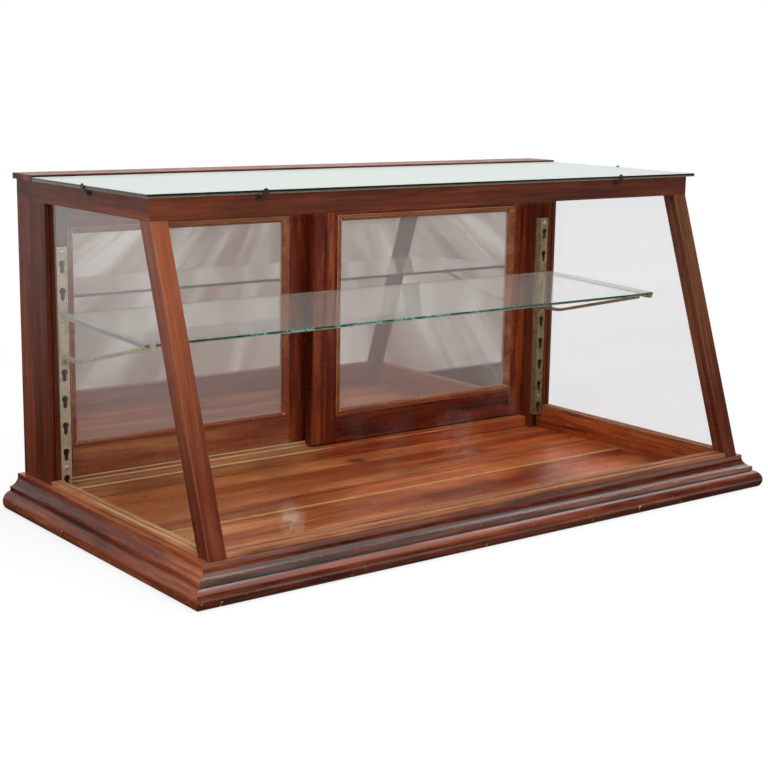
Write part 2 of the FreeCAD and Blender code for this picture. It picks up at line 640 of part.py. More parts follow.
def make_standards():
    """Channel-shaped shelf standards, with a row of keyholes, on the jambs."""
    half, wall = "standard_width / 2", "standard_width / 2 - standard_wall"
    section = [("-" + half, "0"), (half, "0"), (half, "standard_depth"), (wall, "standard_depth"),
               (wall, "standard_wall"), ("-(%s)" % wall, "standard_wall"), ("-(%s)" % wall, "standard_depth"),
               ("-" + half, "standard_depth")]
    screws = []
    for side, name in SIDES:
        body = bar("standard_channel_" + name, "XY", "standard_bottom", "standard_length", section)
        hole = pocket(body, outline(body, "keyhole_" + name, "XZ", "0", keyhole()), "2 * standard_wall")
        row = body.newObject("PartDesign::LinearPattern", "keyholes_" + name)
        row.Originals = [hole]
        row.Direction = (hole.Profile[0], ["V_Axis"])
        row.setExpression("Length", bound("keyhole_pitch * (keyhole_count - 1)"))
        row.setExpression("Occurrences", bound("keyhole_count"))
        body.Tip = row
        settle(body, "%d * standard_x" % side, "lip_front", "0")
        eyes = []
        for number, height in enumerate(standard_screw_heights()):
            place = ("%d * standard_x" % side, "lip_front", height)
            eyes.append(screw_hole("standard_eye_%s_%d" % (name, number), "screw_shank", "2 * standard_wall",
                                   *place, *FRONT_TO_BACK))
            holder = screw("standard_screw_%s_%d" % (name, number), "screw_head", "screw_shank",
                           "standard_depth + screw_bite")
            screws.append(settle(holder, *place, *FRONT_TO_BACK))
        node(cut("shelf_standard_" + name, body, eyes))
    node(group("standard_screws", screws))


def under_shelf(y):
    """Height of the shelf's underside, as the settled brackets hold it."""
    return "arm_top - shelf_slope * (plate_front - (%s))" % y


def brace_outline():
    """A strip that runs level from the plate and then bends up to the arm."""
    def edge(half, turn):
        level = "brace_z + (%s)" % half
        rise, back = "(%s) / brace_secant" % half, "(%s) * brace_slope / brace_secant" % half
        bend_end = ("brace_corner - brace_tangent / brace_secant + " + back,
                    "brace_z + brace_tangent * brace_slope / brace_secant + " + rise)
        return [("plate_front", level), ("brace_corner + brace_tangent", level, "brace_bend - (%s)" % half, turn),
                bend_end, ("brace_y + " + back, "brace_tip + " + rise)]
    upper = edge("brace_thickness / 2", -1)
    start, bend, bend_end, tip = edge("-brace_thickness / 2", 1)
    return upper + [tip, bend_end + bend[2:], bend[:2], start]


def make_brackets():
    """Shelf brackets: a plate with two riveted studs, a flat arm with an upturned end and a bent brace."""
    reach = "plate_thickness + plate_clearance + standard_wall + plate_clearance"
    for side, name in SIDES:
        middle = "%d * standard_x" % side
        plate = box("plate_blank_" + name, ("%s - plate_width / 2" % middle, "%s + plate_width / 2" % middle),
                    ("plate_front", "plate_rear"), ("stud_low - plate_below", "arm_top"))
        riveted = [plate]
        for number, height in enumerate(("stud_low", "stud_high")):
            stud = turned("stud_%s_%d" % (name, number), [
                ("0", "-rivet_crown"), ("stud_neck / 2", "-rivet_crown"), ("rivet_head / 2", "0"),
                ("stud_neck / 2", "0"),
                ("stud_neck / 2", reach), ("stud_head / 2", reach),
                ("stud_head / 2", reach + " + stud_head_thickness"), ("0", reach + " + stud_head_thickness")])
            riveted.append(settle(stud, middle, "plate_front", height, *FRONT_TO_BACK))
        hook = node(doc.addObject("Part::MultiFuse", "bracket_plate_" + name))
        hook.Shapes = riveted
        tip = "arm_end - arm_thickness"
        node(bar("bracket_arm_" + name, "YZ", "%s - arm_width / 2" % middle, "arm_width", [
            ("plate_front", "arm_top - arm_thickness"), ("plate_front", "arm_top"),
            ("arm_end", under_shelf("arm_end")), ("arm_end", under_shelf("arm_end") + " + arm_lip"),
            (tip, under_shelf("arm_end") + " + arm_lip"), (tip, under_shelf(tip) + " - arm_thickness")]))
        node(bar("bracket_brace_" + name, "YZ", "%s - brace_width / 2" % middle, "brace_width", brace_outline()))


def make_shelf():
    """The glass shelf, lying on the arms behind their upturned ends."""
    corners = []
    for y, lift in (("shelf_rear", "shelf_fit"), ("shelf_rear", "shelf_fit + shelf_thickness"),
                    ("shelf_front", "shelf_fit + shelf_thickness"), ("shelf_front", "shelf_fit")):
        corners.append((y, under_shelf(y) + " + " + lift))
    node(bar("glass_shelf", "YZ", "-shelf_reach", "2 * shelf_reach", corners))


def mirror_moulding(label, x, front, z):
    """A moulding round the mirror, rounded towards the glass."""
    body = doc.addObject("PartDesign::Body", label)
    rings = []
    for inset in ("0", "moulding_width"):
        left, right = "%s + %s" % (x[0], inset), "%s - %s" % (x[1], inset)
        bottom, top = "%s + %s" % (z[0], inset), "%s - %s" % (z[1], inset)
        rings.append([(left, bottom), (right, bottom), (right, top), (left, top)])
    sketch = outline(body, label + "_rings", "XZ", "-(%s + moulding_depth)" % front, *rings)
    ring = pad(body, sketch, "moulding_depth")
    doc.recompute()
    inner = (value(rings[1][0][0]), value(rings[1][2][0]), value(rings[1][0][1]), value(rings[1][2][1]))
    edges = []
    for number, edge in enumerate(ring.Shape.Edges, start=1):
        spot = edge.CenterOfMass
        at_front = abs(spot.y - value(front)) < 0.01
        at_side = min(abs(spot.x - inner[0]), abs(spot.x - inner[1])) < 0.01
        at_end = min(abs(spot.z - inner[2]), abs(spot.z - inner[3])) < 0.01
        if at_front and (at_side or at_end):
            edges.append("Edge%d" % number)
    soft = body.newObject("PartDesign::Fillet", label + "_round")
    soft.Base = (ring, edges)
    soft.setExpression("Radius", bound("moulding_round"))
    return body


def make_door(side, name, front):
    """A framed mirror that slides behind the jambs, with a finger cup at the back and two glides."""
    rear = front + " + door_thickness"
    label = name + "_door_"
    depth = (front, rear)
    height = ("door_bottom", "door_top")
    opening = span(side, "opening_inner", "opening_outer")
    clear = ("opening_bottom", "opening_top")
    node(box(label + "meeting_stile", span(side, "door_inner", "opening_inner"), depth, height))
    stile = box(label + "outer_blank", span(side, "opening_outer", "door_outer"), depth, height)
    place = ("%d * pull_x" % side, rear, "pull_z")
    hole = drill(label + "pull_hole", "pull_diameter", "pull_depth", *place, *BACK_TO_FRONT)
    node(cut(label + "outer_stile", stile, [hole]))
    node(box(label + "top_rail", opening, depth, ("opening_top", "door_top")))
    node(box(label + "bottom_rail", opening, depth, ("door_bottom", "opening_bottom")))
    node(mirror_moulding(label + "moulding", opening, front, clear))
    node(box(label + "mirror", opening, (front + " + mirror_front", front + " + panel_front"), clear))
    node(box(label + "back_panel", opening,
             (front + " + panel_front", front + " + panel_front + panel_thickness"), clear))
    shell = "pull_diameter / 2 - pull_fit"
    cup = turned(label + "finger_pull", [
        ("0", "pull_depth"), ("0", "pull_depth - pull_wall"), (shell + " - pull_wall", "pull_depth - pull_wall"),
        (shell + " - pull_wall", "0"), (shell, "0"), (shell, "pull_depth")])
    node(settle(cup, *place, *BACK_TO_FRONT))
    drop = "door_lift - glide_clearance"
    glides = []
    for end, x in (("inner", "door_inner + glide_inset"), ("outer", "door_outer - glide_inset")):
        glide = turned(label + "glide_" + end, [("0", "-(%s)" % drop), ("glide_flat / 2", "-(%s)" % drop),
                                                ("glide_diameter / 2", "0"), ("0", "0")])
        glides.append(settle(glide, "%d * (%s)" % (side, x), front + " + door_thickness / 2", "door_bottom"))
    node(group(label + "glides", glides))


def check_document():
    """Stop if any object failed, any piece is empty or broken, or a cut took nothing away."""
    for item in doc.Objects:
        if "Invalid" in item.State or "Error" in item.State:
            raise RuntimeError("%s failed: %s" % (item.Label, item.State))
        if item.TypeId == "PartDesign::Pocket" and item.Shape.Volume >= item.BaseFeature.Shape.Volume - 0.1:
            raise RuntimeError("%s cuts nothing" % item.Label)
    for piece in nodes:
        if piece.Shape.isNull() or not piece.Shape.isValid() or not piece.Shape.Solids:
            raise RuntimeError("%s has no sound solid" % piece.Label)


def write_parts():
    """Write each piece to a file of its own name."""
    os.makedirs("parts", exist_ok=True)
    for piece in nodes:
        piece.Shape.exportStep("parts/%s.step" % piece.Label)


fill_sheet()
make_base()
make_rear_posts()
make_front_posts()
make_top_frame()
make_glazing()
make_clips()
make_standards()
make_brackets()
make_shelf()
make_door(-1, "left", "door_front + track_pitch")
make_door(1, "right", "door_front")
doc.recompute()
check_document()
write_parts()
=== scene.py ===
"""Looks of an old counter-top display case: worn mahogany, old glass, mirrors and dull metal."""
import math

import bmesh
import bpy
from mathutils import Matrix, Vector


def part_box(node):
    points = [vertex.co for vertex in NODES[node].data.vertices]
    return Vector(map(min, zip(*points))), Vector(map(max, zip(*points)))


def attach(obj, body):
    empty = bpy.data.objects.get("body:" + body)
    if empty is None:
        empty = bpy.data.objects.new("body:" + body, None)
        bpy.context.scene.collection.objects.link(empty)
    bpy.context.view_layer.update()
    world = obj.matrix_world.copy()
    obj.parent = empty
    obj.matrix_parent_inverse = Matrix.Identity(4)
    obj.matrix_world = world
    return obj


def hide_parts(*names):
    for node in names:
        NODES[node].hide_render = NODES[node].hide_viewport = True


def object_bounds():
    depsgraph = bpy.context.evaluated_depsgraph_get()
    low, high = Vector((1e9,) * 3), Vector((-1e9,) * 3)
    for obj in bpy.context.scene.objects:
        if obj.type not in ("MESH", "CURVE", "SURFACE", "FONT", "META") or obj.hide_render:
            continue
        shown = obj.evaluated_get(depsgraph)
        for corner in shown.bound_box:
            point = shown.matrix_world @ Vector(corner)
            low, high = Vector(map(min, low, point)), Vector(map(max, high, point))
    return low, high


bl_info = {
    "name": "Counter-top Display Case",
    "version": (1, 0, 0),
    "blender": (4, 5, 0),
    "location": "3D View > Sidebar > Display Case",
    "description": "Dresses the display case in worn mahogany, glass, mirror and metal",
    "category": "Object",
}

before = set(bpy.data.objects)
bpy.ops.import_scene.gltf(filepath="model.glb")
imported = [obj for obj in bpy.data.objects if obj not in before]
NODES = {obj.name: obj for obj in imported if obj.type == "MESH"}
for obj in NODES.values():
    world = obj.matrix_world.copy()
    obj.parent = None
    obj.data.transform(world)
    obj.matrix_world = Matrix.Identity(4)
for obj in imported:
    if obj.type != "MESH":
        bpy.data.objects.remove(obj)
CAD_BOX = [list(corner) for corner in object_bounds()]
SIDES = ("left", "right")


def shade(code):
    """A scene colour from the six-figure code of a paint shade."""
    parts = [int(code[place:place + 2], 16) / 255 for place in (0, 2, 4)]
    return tuple(part / 12.92 if part <= 0.04045 else ((part + 0.055) / 1.055) ** 2.4 for part in parts)


def colour(name, code, description):
    """A colour setting."""
    return bpy.props.FloatVectorProperty(name=name, description=description, default=shade(code),
                                         size=3, min=0, max=1, subtype="COLOR")


def length(name, metres, description):
    """A length setting."""
    return bpy.props.FloatProperty(name=name, description=description, default=metres, min=0,
                                   precision=5, unit="LENGTH")


def amount(name, size, description, unit="NONE"):
    """A number, with its unit if it has one."""
    return bpy.props.FloatProperty(name=name, description=description, default=size, unit=unit)


def triple(name, kind, numbers, description):
    """A place or a direction."""
    return bpy.props.FloatVectorProperty(name=name, description=description, default=numbers, size=3,
                                         subtype=kind)


GRAIN = ("dark", "mid", "light")
# Woods: where each one is, and its dark, middle and light tone.
WOODS = {
    "frame": ("frame", "2f0f07", "5f2815", "8a4525"),
    "base": ("base moulding", "260c06", "76331c", "a45a35"),
    "post": ("left front post", "66301c", "8f4e31", "b06d49"),
    "far": ("right front post", "3c1d11", "74482f", "8f5f40"),
    "floor": ("floor boards", "4e1407", "bc5a2c", "dc9254"),
    "bright": ("bright left part of the floor", "7c3a1a", "b46c3a", "dca066"),
    "near": ("left door's lower rail", "6a3520", "aa6240", "cc9160"),
    "door": ("doors", "330c05", "782a15", "b4602e"),
    "trim": ("mouldings round the mirrors", "6e2c18", "96502e", "bc8052"),
    # The glint tones are a painted highlight along the rounded edges of the mouldings.
    "glint": ("rubbed edges of the mouldings", "b4602e", "c89a5c", "d6b88a"),
    "sill": ("sill where it is rubbed bare", "7c3a1a", "aa8151", "d6b88a"),
    "bead": ("glazing beads", "5a2a16", "a0643f", "cc9868"),
    "panel": ("thin boards behind the mirrors", "5c3d26", "7a5436", "a0643f"),
}


class CaseFinishes(bpy.types.PropertyGroup):
    """Colours of the case's woods, glasses and metals."""
    worn: colour("Worn edge", "b98a58", "Wood rubbed bare along the edges")
    # Grime is also the colour of the painted shade in the base's creases and under its nose.
    grime_and_shade: colour("Grime", "1d0d09", "Old dirt and dark varnish in corners")
    seam: colour("Floor seam", "c4a052", "Old filler between the floor boards")
    glass_tint: colour("Glass", "fbfbfc", "Clear old glass")
    # These films are smudges on the glass and, seen along its face, a painted sheen.
    top_dust_and_sheen: colour("Top film", "c0c6c2", "Film on the top glass, seen along its face")
    shelf_dust_and_sheen: colour("Shelf film", "e9ecdf", "Film on the shelf, seen along its face")
    glass_dark: colour("Glass edge, upper", "14251c", "Deep green upper part of a cut edge")
    glass_pale: colour("Glass edge, lower", "5d5a48", "Paler lower part of a cut edge")
    shelf_dark: colour("Shelf edge, upper", "173f30", "Deep green upper part of the shelf's edge")
    shelf_pale: colour("Shelf edge, lower", "5c947c", "Paler lower part of the shelf's edge")
    shelf_side: colour("Shelf edge, ends", "9a9ea0", "Greyer edges at the shelf's two ends")
    glass_chip: colour("Glass chips", "9fead4", "Bright chips along the shelf's edge")
    mirror: colour("Mirror", "d9d6d2", "Silvered glass")
    mirror_spot: colour("Mirror spots", "6c645c", "Dark spots in the silver")
    nickel: colour("Standards", "d8ccae", "Dull plated steel")
    bronze: colour("Right standard", "a8966f", "Browner plated steel at the right")
    tarnish: colour("Tarnish", "57482f", "Old tarnish on the metal")
    iron: colour("Clips", "40342f", "Blackened steel")
    brass: colour("Brass", "b08a4a", "Dull brass")


for wood, (where, *codes) in WOODS.items():
    for part, code in zip(GRAIN, codes):
        CaseFinishes.__annotations__[f"{wood}_{part}"] = colour(
            f"{wood.capitalize()} wood, {part}", code, f"{part.capitalize()} tone of the {where}")


class CaseSizes(bpy.types.PropertyGroup):
    """Small sizes of the finish."""
    edge_round: length("Edge rounding", 0.0007, "How far an old wooden edge is rubbed round")
    moulding_round: length("Moulding edge", 0.0012, "Rubbed edge of the mouldings round the mirrors")
    sill_round: length("Sill edge", 0.0015, "Edges of the sill, rubbed by the doors")
    glass_round: length("Glass arris", 0.0004, "Ground arris of a glass edge")
    metal_round: length("Metal edge", 0.0003, "Rounded edge of a metal strip")
    seam_width: length("Floor seam", 0.0075, "Filler between the floor boards")
    screw_crown: length("Screw head", 0.0022, "Height of a round screw head")
    nose_crease: length("Nose crease", 0.0252, "Height of the crease above the base's rounded nose")
    cove_crease: length("Cove crease", 0.0342, "Height of the lower part of the base's cove")
    chip_depth: length("Shelf chips", 0.0006, "Depth of the chips along the shelf's front edge")


class StageSettings(bpy.types.PropertyGroup):
    """Camera and light."""
    lens: amount("Lens", 73.32, "Focal length", "CAMERA")
    eye: triple("Camera", "TRANSLATION", (-1.410664, -1.788497, 0.630757), "Where the camera stands")
    ahead: triple("View direction", "DIRECTION", (0.59892509, 0.77617575, -0.19707851),
                  "Where the camera looks")
    upward: triple("Camera's up", "DIRECTION", (0.10697215, 0.16635065, 0.98024712),
                   "Upward side of the picture")
    key_power: amount("Key light", 34.0, "Soft light above the front", "POWER")
    fill_power: amount("Fill light", 14.0, "Soft light from the right", "POWER")
    top_power: amount("Top light", 26.0, "Soft light from above", "POWER")
    room_light: amount("Room light", 0.6, "Even light from all round")
    shadow_share: amount("Floor shadow", 0.3, "How much of the shadow the pale floor shows")
    sweep_dark: colour("Sweep, dark", "a99c90", "Dark folds of the grey sweep that the mirrors show")
    sweep_mid: colour("Sweep, middle", "d3cac1", "Middle tone of the grey sweep that the mirrors show")
    sweep_brown: colour("Sweep, brown", "92705c", "Brown folds of the grey sweep that the mirrors show")
    # Under the case and beside its left side, this dark tone of the sweep is a painted shadow of the case.
    sweep_dark_and_shadow: colour("Sweep, far part", "1c1613", "Dark far part of the grey sweep")
    sweep_light: colour("Sweep, light", "f3f0eb", "Light folds of the grey sweep that the mirrors show")


def finishes():
    """The colours in use."""
    return bpy.context.scene.case_finishes


def sizes():
    """The small sizes in use."""
    return bpy.context.scene.case_sizes


def grain_of(wood):
    """Dark, middle and light tone of a wood."""
    return tuple(getattr(finishes(), f"{wood}_{tone}") for tone in GRAIN)


# Cloudy patterns: scale, detail, roughness, twist, where each starts and ends, and what these become.
PATTERNS = {
    "clouds": (6.0, 3.0, 0.55, 0.0, 0.42, 0.72, 0.0, 0.45),
    "pores": (900.0, 2.0, 0.5, 0.0, 0.6, 0.72, 0.0, 0.35),
    "dirt": (85.0, 4.0, 0.7, 0.0, 0.66, 0.76, 0.0, 0.6),
    "filler": (60.0, 4.0, 0.7, 0.0, 0.3, 0.6, 0.35, 1.0),
    "crease shade and dirt": (30.0, 4.0, 0.6, 0.0, 0.25, 0.6, 0.6, 1.0),
    "floor shade clouds": (11.0, 4.0, 0.6, 0.6, 0.45, 0.68, 0.0, 0.8),
    "base chips": (120.0, 2.0, 0.5, 0.0, 0.7, 0.74, 0.0, 0.8),
    "wisps": (90.0, 5.0, 0.7, 1.2, 0.4, 0.65, 0.0, 1.0),
    "smudges": (9.0, 4.0, 0.6, 0.4, 0.58, 0.8, 0.0, 1.0),
    "flecks": (420.0, 3.0, 0.75, 0.0, 0.5, 0.56, 0.0, 1.0),
    "fleck clusters": (28.0, 2.0, 0.6, 0.0, 0.44, 0.54, 0.0, 1.0),
    "silver spots": (160.0, 3.0, 0.6, 0.0, 0.73, 0.79, 0.0, 0.4),
    "silver haze": (9.0, 4.0, 0.6, 0.0, 0.45, 0.75, 0.0, 0.02),
    "tarnish": (90.0, 5.0, 0.65, 0.0, 0.4, 0.72, 0.0, 1.0),
    "brown folds": (1.1, 3.0, 0.5, 0.1, 0.52, 0.62, 0.0, 0.6),
}
# Plain patterns: scale, detail, roughness and, for the folds, twist.
STREAKS = (240.0, 4.0, 0.65)
RUBBED = (38.0, 6.0, 0.7)
DENTS = (55.0, 3.0, 0.6)
KNOT_WAVES = (70.0, 3.0, 0.6)
EDGE_RIPPLE = (130.0, 4.0, 0.7)
SCRATCHES = (1300.0, 2.0, 0.5)
FOLDS = (1.7, 4.0, 0.6, 0.1)
# Figure of a wood: scale of the bands, their twist, share of fine streaks, and spread of the tones.
BOLD_FIGURE = (34.0, 0.8, 0.34, 0.13)
QUIET_FIGURE = (40.0, 0.6, 0.3, 0.19)
POST_FIGURE = (60.0, 0.4, 0.3, 0.22)
FLOOR_FIGURE = (10.0, 2.0, 0.18, 0.14)
BAND_DETAIL = (5.0, 0.6)
GRAIN_STRETCH = 0.05
AXES = {"X": (GRAIN_STRETCH, 1, 1), "Y": (1, GRAIN_STRETCH, 1), "Z": (1, 1, GRAIN_STRETCH)}
# Slant of a face at which a mask of faces starts and is full.
FACING = (0.7, 0.95)
# Knots: where across, how far back and how strong.
KNOTS = ((0.046, 0.168, 0.8), (0.252, 0.111, 0.6))
KNOT_SQUEEZE = 1.3
KNOT_WAVE = 0.02
KNOT_SIZE = (0.016, 0.036)
# Half widths of the lines of painted shade and dirt in the creases, where they are full and where they end.
NOSE_LINE = (0.0005, 0.0018)
COVE_LINE = (0.0004, 0.0017)
RIGHT_SHADE_SPAN = (0.15, -0.4)
CHIP_LEVEL = (0.006, 0.004, 0.012)
# Finger marks: where across, how high, how wide and how strong.
SMUDGES = ((-0.3459, 0.0758, 0.024, 0.24), (0.0276, 0.2178, 0.03, 0.1), (-0.0571, 0.1365, 0.05, 0.05))
GLASS_BEND = 1.5
SHEEN_ANGLES = (0.55, 0.82)


def feed(tree, socket, source):
    """Link a socket to another, or set it; a colour is set with full cover."""
    if isinstance(source, bpy.types.NodeSocket):
        tree.links.new(source, socket)
    else:
        socket.default_value = (*source, 1.0) if socket.type == "RGBA" else source


def add(tree, kind, inputs=None, **settings):
    """A shader node with its settings, its plain inputs and its links."""
    made = tree.nodes.new("ShaderNode" + kind)
    for name, setting in settings.items():
        setattr(made, name, setting)
    for name, source in (inputs or {}).items():
        feed(tree, made.inputs[name], source)
    return made


def blank_material(name):
    """A material without nodes, and its node tree."""
    material = bpy.data.materials.new(name)
    material.use_nodes = True
    material.node_tree.nodes.clear()
    return material, material.node_tree


def shown(material, surface):
    """The material, with a surface on its output."""
    tree = material.node_tree
    feed(tree, add(tree, "OutputMaterial").inputs["Surface"], surface.outputs[0])
    return material


def object_place(tree):
    """Where a point lies on its object."""
    return add(tree, "TexCoord").outputs["Object"]


def mapped(tree, place, **changes):
    """Coordinates moved, turned or stretched."""
    inputs = {name.capitalize(): change for name, change in changes.items()}
    return add(tree, "Mapping", {"Vector": place, **inputs}).outputs["Vector"]


def along_axis(tree, vector, axis):
    """One coordinate of a vector."""
    return add(tree, "SeparateXYZ", {"Vector": vector}).outputs[axis]


def vector_length(tree, vector):
    """How long a vector is."""
    return add(tree, "VectorMath", {0: vector}, operation="LENGTH").outputs["Value"]


def bump(tree, height, strength, depth):
    """Small dents and ridges."""
    return add(tree, "Bump", {"Height": height, "Strength": strength, "Distance": depth}).outputs["Normal"]


def noise(tree, place, scale, detail, rough, twist=0.0):
    """A cloudy pattern from 0 to 1."""
    made = add(tree, "TexNoise", {"Vector": place, "Scale": scale, "Detail": detail, "Roughness": rough,
                                  "Distortion": twist})
    return made.outputs["Fac"]


def span_of(tree, source, low, high, to_low=0.0, to_high=1.0):
    """A pattern stretched so that low and high become the two given ends."""
    made = add(tree, "MapRange", {"Value": source, "From Min": low, "From Max": high, "To Min": to_low,
                                  "To Max": to_high})
    return made.outputs["Result"]


def patches(tree, place, kind, share=1.0):
    """One of the named patterns, and how much of it."""
    *cloudy, start, end, least, most = PATTERNS[kind]
    return span_of(tree, noise(tree, place, *cloudy), start, end, least * share, most * share)


def sums(tree, operation, first, second=0.0, clamp=True):
    """Two patterns put together by arithmetic."""
    made = add(tree, "Math", {0: first, 1: second}, operation=operation, use_clamp=clamp)
    return made.outputs["Value"]


def times(tree, first, second):
    """One pattern within another."""
    return sums(tree, "MULTIPLY", first, second)


def blend(tree, share, first, second, mode="MIX"):
    """One colour over another."""
    made = add(tree, "Mix", {0: share, 6: first, 7: second}, data_type="RGBA", blend_type=mode)
    return made.outputs[2]


def ramp(tree, source, stops):
    """A pattern turned into colours."""
    made = add(tree, "ValToRGB", {"Fac": source})
    elements = made.color_ramp.elements
    while len(elements) < len(stops):
        elements.new(0.5)
    for element, (place, tone) in zip(elements, stops):
        element.position = place
        element.color = (*tone, 1.0)
    return made.outputs["Color"]


def grain_space(tree, along, lean=0.0):
    """Object coordinates, and the same drawn out along the grain."""
    place = object_place(tree)
    if lean:
        place = mapped(tree, place, rotation=(lean, 0, 0))
    return place, mapped(tree, place, scale=AXES[along])


def grain_colours(tree, place, drawn, tones, figure):
    """Streaked grain in three tones, with darker clouds and fine pores."""
    dark, mid, light = tones
    scale, twist, fine, spread = figure
    bands = noise(tree, drawn, scale, *BAND_DETAIL, twist)
    streaks = noise(tree, drawn, *STREAKS)
    lines = sums(tree, "ADD", times(tree, bands, 1 - fine), times(tree, streaks, fine))
    wood = ramp(tree, lines, ((0.5 - spread, dark), (0.5, mid), (0.5 + spread, light)))
    wood = blend(tree, patches(tree, place, "clouds"), wood, dark)
    return blend(tree, patches(tree, drawn, "pores"), wood, dark), streaks


def varnished_wood(name, along, tones, worn=None, worn_share=0.25, lean=0.0, gloss=0.24, shine=0.3,
                   second=None, marks=(), late_marks=(), figure=BOLD_FIGURE):
    """Old mahogany: streaked grain, rubbed places, dirt and small dents under a thin varnish."""
    material, tree = blank_material(name)
    place, drawn = grain_space(tree, along, lean)
    wood, streaks = grain_colours(tree, place, drawn, tones, figure)
    for mark in marks:
        wood = mark(tree, place, wood)
    if second:
        other, mask = second
        wood = blend(tree, mask(tree), wood, grain_colours(tree, place, drawn, other, figure)[0])
    rubbed = noise(tree, place, *RUBBED)
    rub_mask = span_of(tree, rubbed, 0.74 - 0.2 * worn_share, 0.82 - 0.1 * worn_share, 0.0, 0.6)
    wood = blend(tree, rub_mask, wood, worn or tones[2])
    wood = blend(tree, patches(tree, place, "dirt"), wood, finishes().grime_and_shade)
    for mark in late_marks:
        wood = mark(tree, place, wood)
    rough = span_of(tree, rubbed, 0.3, 0.75, gloss, gloss + 0.2)
    dents = noise(tree, place, *DENTS)
    height = sums(tree, "ADD", times(tree, streaks, 0.4), times(tree, dents, 0.6))
    surface = add(tree, "BsdfPrincipled", {"Base Color": wood, "Roughness": rough,
                                           "Specular IOR Level": shine,
                                           "Normal": bump(tree, height, strength=0.16, depth=0.0012)})
    return shown(material, surface)


def facing(axis, way, share=1.0):
    """A mask of the faces that look the given way."""
    def mask(tree):
        normal = along_axis(tree, add(tree, "TexCoord").outputs["Normal"], axis)
        return span_of(tree, normal, FACING[0] * way, FACING[1] * way, 0.0, share)
    return mask


def toward(axis, full, none, share=1.0):
    """A mask that fades along an axis, from the place where it is full to the place where it ends."""
    def mask(tree):
        return span_of(tree, along_axis(tree, object_place(tree), axis), full, none, share, 0.0)
    return mask


def either(first, second):
    """A mask of what one mask or the other covers."""
    return lambda tree: sums(tree, "MAXIMUM", first(tree), second(tree))


def both(first, second):
    """A mask of what two masks share."""
    return lambda tree: times(tree, first(tree), second(tree))


def near_level(tree, place, axis, level, inside, outside):
    """One within a distance of a level along an axis, and none farther out."""
    apart = sums(tree, "SUBTRACT", along_axis(tree, place, axis), level, False)
    return span_of(tree, sums(tree, "ABSOLUTE", apart, 0.0, False), inside, outside, 1.0, 0.0)


def seam_mark(tree, place, wood):
    """A ragged line of old filler along the joint of the floor boards."""
    seam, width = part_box("floor_board_front")[1].y, sizes().seam_width
    line = near_level(tree, place, "Y", seam, 0.35 * width, 0.6 * width)
    filled = times(tree, patches(tree, place, "filler"), line)
    return blend(tree, filled, wood, finishes().seam)


def knot_mark(tree, place, wood):
    """Dark knots in the rear floor board."""
    wavy = times(tree, noise(tree, place, *KNOT_WAVES), KNOT_WAVE)
    for across, back, share in KNOTS:
        moved = mapped(tree, place, location=(-across, -KNOT_SQUEEZE * back, 0), scale=(1, KNOT_SQUEEZE, 0))
        away = sums(tree, "ADD", vector_length(tree, moved), wavy, False)
        spot = span_of(tree, away, *KNOT_SIZE, share, 0.0)
        wood = blend(tree, spot, wood, finishes().grime_and_shade)
    return wood


def crease_shade_mark(share):
    """Painted shade, with dirt, in the creases of the base moulding."""
    def mark(tree, place, wood):
        nose = near_level(tree, place, "Z", sizes().nose_crease, *NOSE_LINE)
        cove = near_level(tree, place, "Z", sizes().cove_crease, *COVE_LINE)
        # One cloudy mask lays both the painted shade and the dirt into the creases.
        dirt = patches(tree, place, "crease shade and dirt", share)
        lines = times(tree, sums(tree, "MAXIMUM", nose, cove), dirt)
        return blend(tree, lines, wood, finishes().grime_and_shade)
    return mark


def under_shade_mark(share):
    """Painted shade under the nose of the base, darkest towards the bottom."""
    def mark(tree, place, wood):
        nose = sizes().nose_crease
        under = toward("Z", 0.36 * nose, 0.66 * nose, share)(tree)
        return blend(tree, under, wood, finishes().grime_and_shade)
    return mark


def right_shade_mark(tree, place, wood):
    """Painted shade in deep red clouds on the floor, most of them at the right."""
    clouds = patches(tree, mapped(tree, place, scale=(0.3, 1, 1)), "floor shade clouds")
    right_part = toward("X", *RIGHT_SHADE_SPAN)(tree)
    return blend(tree, times(tree, clouds, right_part), wood, finishes().floor_dark)


def rear_shade_mark(tree, place, wood):
    """Painted shade on faces that look to the rear, which are multiplied by the light tone of the left
    front post.
    """
    return blend(tree, facing("Y", 1)(tree), wood, finishes().post_light, "MULTIPLY")


def chip_mark(tree, place, wood):
    """Small pale chips low on the nose of the base."""
    low = near_level(tree, place, "Z", *CHIP_LEVEL)
    chips = times(tree, patches(tree, place, "base chips"), low)
    return blend(tree, chips, wood, finishes().worn)


def rays(tree, first, *others):
    """One for rays of the named kinds, and none for the others."""
    path = add(tree, "LightPath")
    found = path.outputs[f"Is {first} Ray"]
    for kind in others:
        found = sums(tree, "MAXIMUM", found, path.outputs[f"Is {kind} Ray"])
    return found


def mix_shaders(tree, share, first, second):
    """One surface over another."""
    return add(tree, "MixShader", {0: share, 1: first.outputs[0], 2: second.outputs[0]})


def smudge_cover(tree, place):
    """Finger marks on the front pane."""
    wisps, cover = patches(tree, place, "wisps"), 0.0
    for across, height, radius, share in SMUDGES:
        moved = mapped(tree, place, location=(-across, 0, -height), scale=(1, 0, 1))
        spot = span_of(tree, vector_length(tree, moved), 0.1 * radius, radius, share, 0.0)
        cover = sums(tree, "ADD", times(tree, spot, wisps), cover)
    return cover


